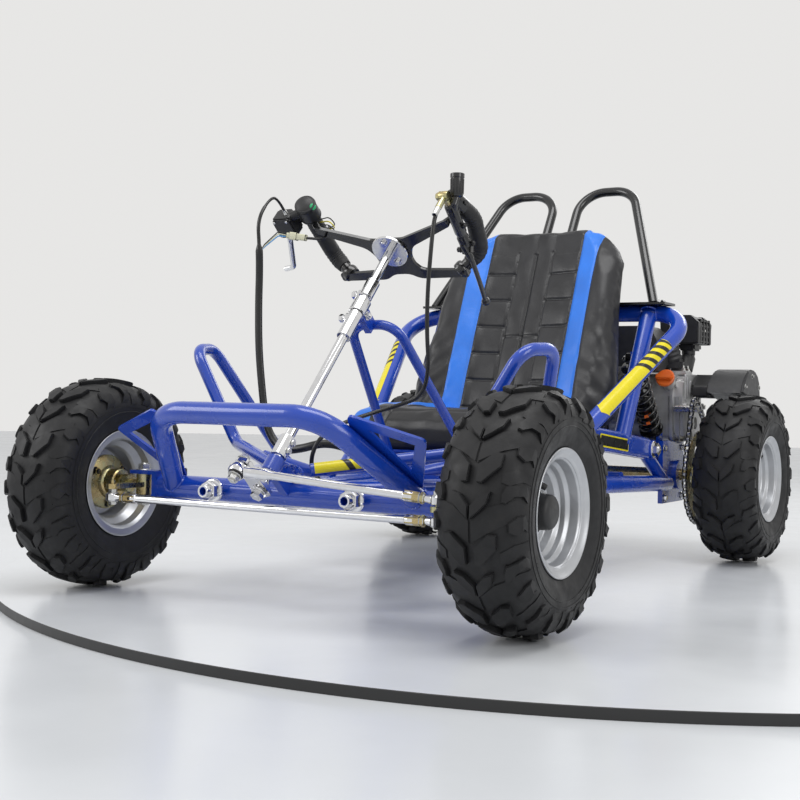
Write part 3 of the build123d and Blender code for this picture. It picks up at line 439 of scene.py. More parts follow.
def nurbs_line(points):
    """Points in millimetres along the smooth line that a route's points control."""
    curve = bpy.data.curves.new("route", "CURVE")
    curve.dimensions = "3D"
    curve.resolution_u = 8
    spline = curve.splines.new("NURBS")
    spline.points.add(len(points) - 1)
    for control, point in zip(spline.points, points):
        control.co = (*(Vector(point) * MM), 1)
    spline.order_u = 3
    spline.use_endpoint_u = True
    holder = bpy.data.objects.new("route", curve)
    mesh = bpy.data.meshes.new_from_object(holder)
    line = [v.co / MM for v in mesh.vertices]
    bpy.data.objects.remove(holder)
    bpy.data.curves.remove(curve)
    bpy.data.meshes.remove(mesh)
    return line


def make_hose(name, points, diameter, node, turning=None, thin_until=0.0, thin=1.0,
              squeeze=1.0):
    """A hose on its route. When turning, a (start, end) pair in mm, is given, the hose is kept off the steering
    body; the pair's two points are not used.
    The first thin_until mm are thinner by the share thin, and squeeze widens the round section one way."""
    line = nurbs_line(points)
    bm, radii, far = bmesh.new(), [], 0.0
    for i, p in enumerate(line):
        far += (p - line[i - 1]).length if i else 0.0
        share = max(0.0, min(1.0, (far - thin_until) / 8 + 0.5)) if thin_until else 1.0
        radii.append(diameter / 2 * (thin + (1 - thin) * share))
    tube(bm, line, radii, 14, squeeze=squeeze)
    hose = piece(name, bm, None if turning else "steering", HOSE, [node])
    if turning:
        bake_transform(hose)
    return line


def collar(bm, start, end, r0, r1, rings):
    """A short tapered sleeve round a hose, with raised rings."""
    start, axis = Vector(start), Vector(end) - Vector(start)
    long = axis.length
    profile = [(0, r0 - 0.8), (0.6, r0)]
    for k in range(rings):
        at = long * (k + 0.6) / (rings + 0.4)
        r = r0 + (r1 - r0) * at / long
        profile += [(at - 2.2, r), (at - 1.4, r + 0.9), (at + 0.8, r + 0.9), (at + 1.6, r)]
    profile += [(long - 0.6, r1), (long, r1 - 0.8), (long, 0.5 * r1)]
    lathe(bm, [(0, 0.5 * r0)] + profile, start, axis, 24, closed=True)


def make_hoses():
    """The throttle cable's arch at the bar, its sleeved run to the carburettor, and the brake hose."""
    carburettor_end = CARBURETTOR - CARBURETTOR_RUN * 34
    bm = bmesh.new()
    collar(bm, carburettor_end, CARBURETTOR, 7.2, 9.0, 3)
    throttle_boot = piece("throttle_cable_boot", bm, "chassis", HOSE)
    bm = bmesh.new()
    union = Vector(CALIPER_UNION)
    inward = (union - Vector(BRAKE_ROUTE[-2])).normalized()
    collar(bm, union - inward * 30, union - inward * 4, 4.6, 5.8, 2)
    disc(bm, union - inward * 6, inward, 7.5, 8, 1, 6)
    brake_ferrule = piece("brake_hose_ferrule", bm, "chassis", GOLD_ZINC)
    make_hose("brake_hose_line", BRAKE_ROUTE, 7.0, "brake_hose", ((122, -362, 335), (149, -470, 578)))
    make_hose("throttle_cable_arch", CABLE_TURN, 5.0, "throttle_cable_loop")
    make_hose("throttle_cable_sleeve", THROTTLE_ROUTE, 10.0, "throttle_cable",
              ((-160, -390, 270), (-250, -540, 510)), thin_until=78, thin=0.5,
              squeeze=1.45)


# Wheels

RIM_HALF = 58.0
SIDE_HALF = 65.8
TREAD_R = 172.0
SEAT_R = 76.0

# Half of the carcass from the crown to the bead, as (across, radius)
CARCASS = [(0, 170), (18, 169.6), (36, 167), (50, 161), (59.5, 151), (64.5, 138), (65.5, 126), (63.5, 113),
           (59.5, 101), (56.5, 93), (54.0, 89.6)]


def along_carcass():
    """The crown-to-bead line as closely spaced (distance, across, radius)."""
    line = [Vector((u, r, 0)) for u, r in CARCASS]
    line = rounded(line, [60] * len(line), 5)
    table, far = [(0.0, line[0].x, line[0].y)], 0.0
    for a, b in zip(line, line[1:]):
        far += (b - a).length
        table.append((far, b.x, b.y))
    return table


CARCASS_TABLE = along_carcass()


def on_carcass(distance):
    """Across, radius and the outward direction at a distance from the crown."""
    d, sign = abs(distance), 1 if distance >= 0 else -1
    for (d0, u0, r0), (d1, u1, r1) in zip(CARCASS_TABLE, CARCASS_TABLE[1:]):
        if d <= d1:
            break
    t = (d - d0) / max(d1 - d0, 1e-6)
    out = Vector((r0 - r1, u1 - u0)).normalized()
    return sign * (u0 + (u1 - u0) * t), r0 + (r1 - r0) * t, Vector((sign * out.x, out.y))


# One pitch of the tread; first number across from the centre groove, second along the tread
PITCHES = 10
CHEVRON = [(1.2, 0), (13, -9), (24, -21), (28, -37), (14, -32), (1.2, -17)]
SPLIT_LUG = [(6, 60), (15, 61), (36, 38), (37, 19), (26, 18), (6, 37)]
HOOK_LUG = [(41, -34), (45, -46), (72, -52), (80, -44), (80, -27), (68, -37), (55, -34), (48, -22), (41, -24)]
SHOULDER_LUG = [(50, 4), (62, -6), (76, -8), (81, 2), (81, 20), (72, 12), (62, 22), (51, 16)]
PLATEAU = [(1, 2), (24, -17), (60, -30), (80, -25), (84, -12), (84, 2), (78, -2), (52, 2), (24, 18), (1, 33)]
LOW_STEP = [(38, 44), (58, 34), (84, 33), (84, 52), (66, 50), (50, 62), (38, 58)]
LUGS = [(CHEVRON, 7.4), (SPLIT_LUG, 7.2), (HOOK_LUG, 6), (SHOULDER_LUG, 5.6), (PLATEAU, 1.8), (LOW_STEP, 1.6)]


def make_tyre(name, centre, out, node, body):
    """A knobbly tyre; out is +1 where the outer side faces +X."""
    centre = Vector(centre)
    bm = bmesh.new()

    def place(across, around, lift):
        u, r, normal = on_carcass(across)
        angle = around / TREAD_R
        u, r = u + normal.x * lift, r + normal.y * lift
        return centre + Vector((u * out, -r * math.cos(angle), -r * math.sin(angle)))

    outer = [(u, r) for _, u, r in CARCASS_TABLE]
    bead = [(RIM_HALF - 6, 86), (RIM_HALF - 8, SEAT_R + 1), (40, SEAT_R + 1), (44, 92), (56, 112), (57, 132),
            (50, 150), (30, 158), (0, 160)]
    half = outer + bead
    profile = [(-u, r) for u, r in reversed(outer)] + half[1:] + [(-u, r) for u, r in reversed(bead[:-1])]
    lathe(bm, profile, centre, (out, 0, 0), 120, closed=True)
    for outline, height in LUGS:
        for side in (1, -1):
            for k in range(PITCHES):
                shift = k * 2 * math.pi * TREAD_R / PITCHES
                raised(bm, [(side * a, b + shift) for a, b in outline], height, place, 13.0, 1.5, 1.1)
    # Ribs round the shoulder and the lower sidewall
    for side in (1, -1):
        for far, thick in ((87.5, 1.5), (96.0, 0.9), (141.0, 1.2)):
            u, r, _ = on_carcass(side * far)
            ring = [centre + Vector((u * out, r * math.cos(a), r * math.sin(a))) for a in circle(96)]
            tube(bm, ring, thick, 6, closed=True)
    # Moulding whiskers
    chance = random.Random(node)
    for _ in range(110):
        side = chance.choice((1, -1))
        across = side * chance.choice((chance.uniform(84, 90), chance.uniform(4, 90), 97, 97))
        around = chance.uniform(0, 2 * math.pi * TREAD_R)
        root = place(across, around, 0)
        tip = place(across + chance.uniform(-2, 2), around, chance.uniform(4, 8.5))
        tube(bm, [root, root.lerp(tip, 0.6), tip], [0.55, 0.45, 0.2], 4)
    for v in bm.verts:
        away = v.co - centre
        flat = Vector((0, away.y, away.z))
        if flat.length > TYRE_R - 0.2:
            v.co -= flat.normalized() * (flat.length - TYRE_R + 0.2)
        v.co.x = centre.x + max(-SIDE_HALF, min(SIDE_HALF, away.x))
    return piece(name, bm, body, RUBBER, [node], 30)


RIM_OUTSIDE = [(57.5, 88), (58.5, 90), (56.8, 91.2), (54, 89.5), (52.6, 80), (51, 76), (36, 75.4),
               (27, 69), (20, 63.4), (-22, 62), (-32, 74), (-52, 76), (-54, 86), (-56, 90.6), (-58, 90)]
RIM_INSIDE = [(-57.6, 87.5), (-55, 78), (-50, 73.0), (-36, 71.2), (-27, 62), (-22, 59), (-2, 58.4), (3, 56)]
RIM_FACE = [(5, 40), (9, 36), (9, 24), (6, 19), (6, 0)]
RIM_FACE_BACK = [(2.5, 40), (6, 35.4), (6, 25), (3, 20), (3, 0)]
RIM_STEPS = [(6.2, 56), (18, 59.6), (22, 65.6), (30, 67.2), (34.5, 72), (48, 73.6), (52, 79), (55, 86)]


def make_rim(name, centre, out, node, body, stem_at):
    """A pressed steel wheel with three steps down to its centre, and its valve."""
    centre, axis = Vector(centre), Vector((out, 0, 0))
    bm = bmesh.new()
    shell = [Vector((a, r, 0)) for a, r in RIM_OUTSIDE + RIM_INSIDE + RIM_FACE_BACK]
    face = [Vector((a, r, 0)) for a, r in RIM_FACE[::-1] + RIM_STEPS]
    line = rounded(shell, 2.2, 3)[:-1] + [Vector((3, 0, 0)), Vector((6, 0, 0))] + rounded(face, 3.0, 3)[1:]
    lathe(bm, [(p.x, max(p.y, 0)) for p in line], centre, axis, 96, closed=True)
    for k in range(4):
        turn = math.pi / 4 + k * math.pi / 2
        spot = centre + axis * 9 + radial(turn) * 30
        bolt(bm, spot, axis, 12, 6, True, 5, mat=1)
        bolt(bm, spot - axis * 8, -axis, 12, 5, True, 2, mat=1)
    root = centre + axis * 24 + radial(stem_at) * 64
    lean = (axis * 0.95 - radial(stem_at) * 0.75).normalized()
    lathe(bm, [(-3, 0), (-3, 6), (3, 6.2), (5, 4.6), (15, 3.8), (16, 4.4), (25, 4.4), (26, 3.6), (26, 0)],
          root, lean, 20, mat=2)
    return piece(name, bm, body, [SILVER, STEEL, SATIN_BLACK], [node])


def make_wheels():
    wheels = [("front_left", FRONT_X, FRONT_Y, 1, "front_left_wheel", 2.3),
              ("front_right", -FRONT_X, FRONT_Y, -1, "front_right_wheel", 0.7),
              ("rear_left", REAR_X, REAR_Y, 1, "rear_wheels", 1.9),
              ("rear_right", -REAR_X, REAR_Y, -1, "rear_wheels", 1.0)]
    for name, x, y, out, body, stem in wheels:
        centre = (x, y, WHEEL_Z)
        make_tyre(name + "_tread_tyre", centre, out, name + "_tyre", body)
        make_rim(name + "_wheel_disc", centre, out, name + "_rim", body, stem)


def make_hubs():
    """Front: yellow zinc hub inboard and a black cap outboard. Rear: nut and collar."""
    for name, out in (("front_left", 1), ("front_right", -1)):
        axis, centre = Vector((out, 0, 0)), Vector((out * FRONT_X, FRONT_Y, WHEEL_Z))
        bm = bmesh.new()
        lathe(bm, [(-50, 9), (-50, 21), (-48, 23), (-30, 23), (-28, 26), (-22, 28), (-18, 43), (-16, 46),
                   (-12, 46), (-11, 43), (-6, 28), (2, 30), (2, 9)], centre, axis, 64, closed=True)
        for k in range(3):
            turn = 0.5 + k * 2 * math.pi / 3
            bolt(bm, centre - axis * 18 + radial(turn) * 36, -axis, 11, 6, True, 5, 1)
        piece(name + "_hub", bm, name + "_wheel", [GOLD_ZINC, GLOSS_BLACK])
        bm = bmesh.new()
        lathe(bm, [(5, 0), (5, 29), (8, 30), (15, 29.6), (17, 26), (36, 24.8), (39, 23.4), (41.5, 20),
                   (42.4, 14), (42.6, 0)], centre, axis, 48)
        prism(bm, hexagon(50), centre + axis * 14, axis, height=6, edge=1.2)
        piece(name + "_hub_cap", bm, name + "_wheel", SATIN_BLACK)
    bm = bmesh.new()
    for out in (1, -1):
        axis, centre = Vector((out, 0, 0)), Vector((out * REAR_X, REAR_Y, WHEEL_Z))
        disc(bm, centre + axis * 6, axis, 24, 3)
        bolt(bm, centre + axis * 9, axis, 30, 14, True, 10)
        lathe(bm, [(-40, 13), (-40, 26), (-20, 27), (-18, 40), (0, 40), (1, 13)], centre, axis, 48, closed=True)
    piece("rear_hub_nuts", bm, "rear_wheels", STEEL)


# Seat

BACK_FOOT = Vector((0, 206, 300))
BACK_OUT = Vector((0, -0.928, 0.371)).normalized()
BACK_UP = Vector((0, 0.371, 0.928)).normalized()

# Half width and bolster height at distances up the back
BACK_STATIONS = [(-38, 150, 0.2), (-30, 205, 0.5), (0, 230, 0.9), (60, 236, 1.0), (130, 230, 1.0),
                 (190, 221, 1.0), (250, 213, 1.0), (310, 208, 0.9), (355, 202, 0.7), (385, 186, 0.5),
                 (410, 164, 0.35), (428, 140, 0.2), (438, 96, 0.1)]


def back_ring(up, half, lift):
    """One slice through the seat back: a hollow middle between two side bolsters."""
    front = [(0, 0), (45, 1), (92, 4), (118, 10 * lift + 3), (half - 52, 24 * lift + 3),
             (half - 24, 25 * lift + 2), (half - 7, 13 * lift), (half, -7)]
    rear = [(half - 5, -19), (half - 24, -25), (half - 70, -26), (0, -25)]
    side = front + rear
    ring = side + [(-x, h) for x, h in reversed(side[1:-1])]
    return [BACK_FOOT + Vector((x, 0, 0)) + BACK_UP * up + BACK_OUT * h for x, h in ring]


# Distance along the cushion, half width, bottom, height of the middle and of the side bolsters
CUSHION_STATIONS = [(-100, 170, 248, 276, 278), (-95, 200, 241, 290, 294), (-80, 207, 237, 301, 306),
                    (-40, 209, 235, 305, 312), (40, 209, 235, 304, 314), (120, 209, 235, 302, 314),
                    (190, 209, 235, 302, 312), (212, 205, 237, 300, 306), (222, 176, 246, 290, 292)]


def cushion_ring(y, half, bottom, middle, bolster):
    side = [(0, middle), (60, middle), (112, middle + 1), (150, bolster), (half - 16, bolster - 2),
            (half - 3, bolster - 18), (half, (bottom + middle) / 2), (half - 3, bottom + 8),
            (half - 14, bottom), (0, bottom)]
    ring = side + [(-x, z) for x, z in reversed(side[1:-1])]
    return [Vector((x, y, z)) for x, z in ring]


def lofted(rings):
    """A closed form through rings, with its two ends drawn to a point."""
    bm = bmesh.new()
    ends = [[sum(ring, Vector()) / len(ring)] for ring in (rings[0], rings[-1])]
    skin(bm, [ends[0]] + rings + [ends[1]])
    return bm


VOXEL = 0.005
PRESSURE = 4.0
CLOTH_STEPS = 20


def inflate(obj, cap):
    """Remeshes a pad and lets it swell as cloth under pressure, no point moving further than cap metres."""
    def bake():
        graph = bpy.context.evaluated_depsgraph_get()
        return bpy.data.meshes.new_from_object(obj.evaluated_get(graph))

    def shape(mesh):
        return [v.co.copy() for v in mesh.vertices]

    remesh = obj.modifiers.new("remesh", "REMESH")
    remesh.mode, remesh.voxel_size, remesh.use_smooth_shade = "VOXEL", VOXEL, True
    fresh = bake()
    obj.modifiers.clear()
    obj.data = fresh
    before = shape(obj.data)
    cloth = obj.modifiers.new("cloth", "CLOTH")
    settings = cloth.settings
    settings.quality = 4
    settings.use_pressure = True
    settings.uniform_pressure_force = PRESSURE
    settings.effector_weights.gravity = 0
    cloth.point_cache.frame_start, cloth.point_cache.frame_end = 1, CLOTH_STEPS
    for step in range(1, CLOTH_STEPS + 1):
        bpy.context.scene.frame_set(step)
    swollen = bake()
    after = shape(swollen)
    obj.modifiers.clear()
    bpy.context.scene.frame_set(1)
    places = []
    for old, new in zip(before, after):
        move = new - old
        places.extend(old + move * min(1.0, cap / max(move.length, 1e-9)))
    obj.data.vertices.foreach_set("co", places)
    smooth = obj.modifiers.new("smooth", "SMOOTH")
    smooth.iterations = 6
    finer = obj.modifiers.new("finer", "SUBSURF")
    finer.levels = finer.render_levels = 1
    fresh = bake()
    obj.modifiers.clear()
    obj.data = fresh
    obj.data.polygons.foreach_set("use_smooth", [True] * len(obj.data.polygons))


def groove(distance, width, depth):
    return depth * math.exp(-(distance / width) ** 2)


PANEL_HALF = 104.0
RIB_HALF = 40.0
STRIPE_AT = 126.0
STRIPE_HALF = 20.0
STRIPE_LOW_Z = 262.0
CHANNEL_PITCH = 62.0


def back_relief(x, up):
    """How far the sewn seams and folds sink the front of the seat back, in millimetres."""
    side = abs(x)
    sunk = groove(side, 2.8, 5.0) if up < 372 else 0.0
    for line in (STRIPE_AT - STRIPE_HALF, STRIPE_AT + STRIPE_HALF):
        sunk += groove(side - line, 2.6, 2.6)
    if up < 376:
        sunk += groove(side - RIB_HALF, 2.4, 2.4)
    if up < 368 and RIB_HALF < side < PANEL_HALF:
        near = (up - 12) % CHANNEL_PITCH
        sunk += groove(min(near, CHANNEL_PITCH - near), 2.8, 3.0)
        sunk -= 1.8 * math.sin(math.pi * near / CHANNEL_PITCH)
    if side < RIB_HALF:
        sunk += groove(up - 176, 3.0, 2.4) - 1.6 * math.sin(math.pi * side / RIB_HALF)
    low = max(0.0, 1 - max(up, 0) / 230)
    outer = max(0.0, min(1.0, (side - 120) / 60))
    fold = math.sin(0.115 * (up + 0.55 * side) + 1.4 * math.sin(0.021 * x))
    fold *= math.sin(0.03 * up + 0.05 * side)
    return sunk + 3.6 * low * outer * fold + 0.9 * math.sin(0.05 * x + 0.02 * up) * math.sin(0.043 * up)


def cushion_relief(x, y):
    side = abs(x)
    sunk = groove(side - 118, 3.0, 3.4) + groove(y + 62, 3.4, 3.0) * (side < 118)
    for line in (10, 82, 150):
        sunk += groove(y - line, 3.2, 2.6) * (side < 118)
    fold = math.sin(0.06 * x + 0.9 * math.sin(0.05 * y)) * math.sin(0.055 * y + 0.012 * x)
    front = max(0.0, min(1.0, (-50 - y) / 40))
    return sunk + 1.2 * fold + 2.6 * front * math.sin(0.048 * x + 0.5) * math.sin(0.021 * x)


def vinyl(name, stripe_at):
    """Grained black vinyl with a blue stripe each side, whose middle is stripe_at(calc, xyz) metres out."""
    m = surface(name, tones((0.012, 0.012, 0.014), 0.25), (0.30, 0.44), 16, 30,
                [GRAIN, ("Noise", 34, 0.30, 2.2), ("Noise", 90, 0.16, 0.8, (1, 1, 0.4))])
    tree = m.node_tree
    shader = tree.nodes["Principled BSDF"]
    coords, split = tree.nodes.new("ShaderNodeTexCoord"), tree.nodes.new("ShaderNodeSeparateXYZ")
    tree.links.new(coords.outputs["Object"], split.inputs[0])

    def calc(operation, *values):
        node = tree.nodes.new("ShaderNodeMath")
        node.operation = operation
        for socket, value in zip(node.inputs, values):
            if isinstance(value, (int, float)):
                socket.default_value = value
            else:
                tree.links.new(value, socket)
        return node.outputs[0]

    side = calc("ABSOLUTE", split.outputs["X"])
    away = calc("ABSOLUTE", calc("SUBTRACT", side, stripe_at(calc, split.outputs)))
    on_stripe = calc("LESS_THAN", away, STRIPE_HALF * MM)
    mask = calc("MULTIPLY", on_stripe, calc("GREATER_THAN", split.outputs["Z"], STRIPE_LOW_Z * MM))
    mottle = pattern(tree, "Noise", 14, Detail=5.0)
    blue = ramp(tree, mottle.outputs[0], tones((0.026, 0.205, 0.80), 0.10))
    mix = tree.nodes.new("ShaderNodeMix")
    mix.data_type = "RGBA"
    black = shader.inputs["Base Color"].links[0].from_socket
    tree.links.new(mask, mix.inputs[0])
    tree.links.new(black, mix.inputs[6])
    tree.links.new(blue, mix.inputs[7])
    tree.links.new(mix.outputs[2], shader.inputs["Base Color"])
    return m


def sink(obj, relief, facing):
    """Moves the points that face one way in by relief(point), in millimetres."""
    normals = [v.normal.copy() for v in obj.data.vertices]
    places = []
    for vertex, normal in zip(obj.data.vertices, normals):
        turned = normal.dot(facing)
        depth = relief(vertex.co / MM) * MM * min(1.0, turned * 1.6) if turned > 0.15 else 0.0
        places.extend(vertex.co - facing * depth)
    obj.data.vertices.foreach_set("co", places)
    obj.data.update()


def make_seat():
    back_vinyl = vinyl("seat_vinyl", lambda calc, xyz: STRIPE_AT * MM)
    cushion_vinyl = vinyl("cushion_vinyl", lambda calc, xyz: calc(
        "ADD", 0.128, calc("MULTIPLY", calc("MAXIMUM", calc("SUBTRACT", 0.16, xyz["Y"]), 0.0), 0.17)))
    back = piece("seat_back_cover", lofted([back_ring(*s) for s in BACK_STATIONS]), "chassis", back_vinyl,
                 ["seat_back"])
    inflate(back, 0.010)
    sink(back, lambda p: back_relief(p.x, (p - BACK_FOOT).dot(BACK_UP)), BACK_OUT)
    cushion = piece("seat_cushion_cover", lofted([cushion_ring(*s) for s in CUSHION_STATIONS]), "chassis",
                    cushion_vinyl, ["seat_cushion"])
    inflate(cushion, 0.010)
    sink(cushion, lambda p: cushion_relief(p.x, p.y), Vector((0, -0.25, 1)).normalized())


# Springs and shock absorbers

SHOCK_FOOT = Vector((0, 497, 258))
SHOCK_HEAD = Vector((0, 352, 424))
SHOCK_X = 212.0
MARKS_AT = (62, 84)


def make_shocks():
    for name, side in (("left", 1), ("right", -1)):
        foot, head = SHOCK_FOOT + Vector((side * SHOCK_X, 0, 0)), SHOCK_HEAD + Vector((side * SHOCK_X, 0, 0))
        axis = (head - foot).normalized()
        m = basis(foot, axis, X_AXIS)
        length = (head - foot).length
        turns, steps, low, high = 9, 18, 25.0, length - 25.0
        coil = []
        for i in range(turns * steps + 1):
            angle, rise = 2 * math.pi * i / steps, low + (high - low) * i / (turns * steps)
            coil.append(m @ Vector((21.5 * math.cos(angle), 21.5 * math.sin(angle), rise)))
        bm = bmesh.new()
        tube(bm, coil, 3.5, 10)
        for face in bm.faces:
            spot = face.calc_center_median()
            rise = (m.inverted() @ spot).z
            marked = any(abs(rise - k) < 7 for k in MARKS_AT)
            if marked and spot.y < foot.y - rise * 0.6 - 14 and 0 < spot.x - foot.x < 13:
                face.material_index = 1
        piece(f"coil_spring_{name}", bm, "chassis", [GLOSS_BLACK, ORANGE], [f"spring_{name}"])
        bm = bmesh.new()
        lathe(bm, [(8, 0), (8, 9), (14, 12), (16, 15), (20, 26), (24, 26), (25, 15), (104, 15), (106, 12),
                   (107, 6), (length - 30, 6), (length - 29, 15), (length - 25, 26), (length - 21, 26),
                   (length - 18, 14), (length - 10, 9), (length - 8, 0)], foot, axis, 32)
        for end in (foot, head):
            disc(bm, end - Vector((10, 0, 0)), X_AXIS, 12, 20, 1.2, 28)
            for way in (-1, 1):
                bolt(bm, end + Vector((way * 10, 0, 0)), (way, 0, 0), 11, 5, True, 3, mat=1)
        piece(f"shock_body_{name}", bm, "chassis", [GLOSS_BLACK, STEEL], [f"shock_{name}"])


# Chain and sprocket

CHAIN_X = 298.0
REAR_CENTRE = Vector((0, REAR_Y, WHEEL_Z))
PINION = Vector((0, 515, 322))
SPROCKET_R, PINION_R = 103.0, 22.0


LINK_PITCH = 12.7


def chain_path():
    """Points a link apart round both sprockets, in the plane of the chain."""
    a, b = Vector((REAR_CENTRE.y, REAR_CENTRE.z)), Vector((PINION.y, PINION.z))
    between = b - a
    heading = math.atan2(between.y, between.x)
    spread = math.acos((SPROCKET_R - PINION_R) / between.length)
    line = []
    for i in range(61):
        t = heading + spread + (2 * math.pi - 2 * spread) * i / 60
        line.append(a + Vector((math.cos(t), math.sin(t))) * SPROCKET_R)
    for i in range(31):
        t = heading - spread + 2 * spread * i / 30
        line.append(b + Vector((math.cos(t), math.sin(t))) * PINION_R)
    line.append(line[0])
    total = sum((q - p).length for p, q in zip(line, line[1:]))
    count = 2 * round(total / LINK_PITCH / 2)
    step, out, left, here = total / count, [line[0]], total / count, line[0]
    for target in line[1:]:
        while (target - here).length >= left and len(out) < count:
            here = here + (target - here).normalized() * left
            out.append(here)
            left = step
        left -= (target - here).length
        here = target
    return [Vector((CHAIN_X, p.x, p.y)) for p in out]


def make_chain():
    points = chain_path()
    bm = bmesh.new()
    half_turn = [math.pi / 2 + math.pi * k / 5 for k in range(6)]
    arcs = [(math.cos(a) * 4.1, math.sin(a) * 4.1) for a in half_turn]
    for i, p in enumerate(points):
        q = points[(i + 1) % len(points)]
        along = (q - p).normalized()
        reach = (q - p).length
        outline = arcs + [(reach - x, -y) for x, y in arcs]
        for way in (-1, 1):
            offset = (4.3 if i % 2 else 3.0) * way - 0.6
            prism(bm, outline, p + Vector((offset, 0, 0)), X_AXIS, along, 1.2, 0)
        disc(bm, p - Vector((5.2, 0, 0)), X_AXIS, 2.2, 10.4, 0.3, 10, 1)
        disc(bm, p - Vector((2.9, 0, 0)), X_AXIS, 3.9, 5.8, 0.3, 12, 1)
    piece("drive_chain", bm, "chassis", [GLOSS_BLACK, STEEL], ["chain"])


# Engine

CASE_OUTLINE = [(526, 252), (662, 252), (668, 300), (664, 356), (640, 396), (560, 400), (532, 390), (522, 350)]


COVER_BOLTS = [(533, 262), (533, 320), (528, 372), (575, 399), (632, 398), (662, 345), (665, 290), (655, 256),
               (595, 254)]
NECK_FOOT = Vector((234, 520, 379))
NECK_AXIS = Vector((0, -1, 0.5)).normalized()


def make_engine():
    """The crankcase with its left cover, the finned cylinder, the feet and the oil filler with its cap."""
    bm = bmesh.new()
    side = dict(axis=X_AXIS, across=Y_AXIS)
    outline = flat_outline(CASE_OUTLINE, 14)
    prism(bm, outline, (96, 0, 0), height=142, edge=4, **side)
    middle = Vector((595, 326))
    flange = [tuple(middle + (Vector(p) - middle) * 1.035) for p in outline]
    prism(bm, flange, (238, 0, 0), height=7, edge=1.2, **side)
    cover = [tuple(middle + (Vector(p) - middle) * 0.94) for p in outline]
    prism(bm, cover, (244, 0, 0), height=20, edge=6, **side)
    # Square panel, flange and ribs on the cover
    for (y0, z0, y1, z1), out, thick in (((546, 338, 642, 398), 262, 4), ((553, 344, 635, 392), 265.5, 2.2),
                                         ((566, 352, 622, 384), 267, 2.2)):
        panel = flat_outline([(y0, z0), (y1, z0), (y1, z1), (y0, z1)], 5)
        prism(bm, panel, (out, 0, 0), height=thick, edge=1.0, **side)
    brick(bm, (256, 524, 322), (270, 664, 331), 2)
    for y in (534, 548, 562):
        brick(bm, (258, y, 262), (268, y + 4, 322), 1.4)
    for y, z in ((606, 326), (540, 326), (650, 326)):
        lathe(bm, [(0, 9), (14, 8.4), (15, 7), (15, 0)], (258, y, z), X_AXIS, 24)
        bolt(bm, (272, y, z), X_AXIS, 9, 6, False, 0, mat=2)
    lathe(bm, [(0, 46), (8, 45), (12, 40), (13, 26), (13, 14), (9, 13), (9, 0)], (256, 606, 290),
          X_AXIS, 56)
    lathe(bm, [(-6, 0), (-6, 8), (46, 8), (46, 0)], (258, PINION.y, PINION.z), X_AXIS, 24, mat=2)
    for y, z in COVER_BOLTS:
        bolt(bm, (244, y, z), X_AXIS, 9, 6, True, 0, mat=2)
    # Cylinder with cooling fins, leaning forward and up, and its head with a rocker cover
    lean = Vector((0, -0.9, 0.44)).normalized()
    foot = Vector((138, 545, 322))
    prism(bm, plate(46, 42, 14), foot, lean, X_AXIS, 104, 2)
    for k in range(9):
        prism(bm, plate(60, 54, 12), foot + lean * (38 + k * 7.6), lean, X_AXIS, 2.6, 0.7)
    prism(bm, plate(50, 44, 12), foot + lean * 104, lean, X_AXIS, 10, 2, 1)
    # Lower casting, mounting feet and the starter side
    brick(bm, (-14, 540, 252), (98, 660, 392), 12, 1)
    for y in (540, 640):
        brick(bm, (110, y, 249), (256, y + 26, 258), 2, 1)
        for x in (240, 126):
            bolt(bm, (x, y + 13, 258), Z_AXIS, 12, 6, True, 4, 2)
    # Filler neck and carburettor flange
    lathe(bm, [(-24, 0), (-24, 15), (6, 14), (8, 17), (13, 17), (14, 0)], NECK_FOOT, NECK_AXIS, 28)
    brick(bm, (214, 556, 396), (262, 600, 405), 2)
    for x, y in ((222, 563), (254, 563), (222, 593), (254, 593)):
        bolt(bm, (x, y, 405), Z_AXIS, 8, 5, True, 7, 2)
    piece("engine_castings", bm, "chassis", [ALLOY, DUSTY, STEEL], ["engine_block"])

    bm = bmesh.new()
    cap_foot = NECK_FOOT + NECK_AXIS * 14
    lathe(bm, [(0, 0), (0, 19), (3, 20.5), (7, 20.5), (9, 18), (9, 0)], cap_foot, NECK_AXIS, 36)
    prism(bm, plate(20, 7, 6), cap_foot + NECK_AXIS * 8, NECK_AXIS, X_AXIS, 9, 2.4)
    piece("oil_filler_cap", bm, "chassis", ORANGE, ["oil_cap"])


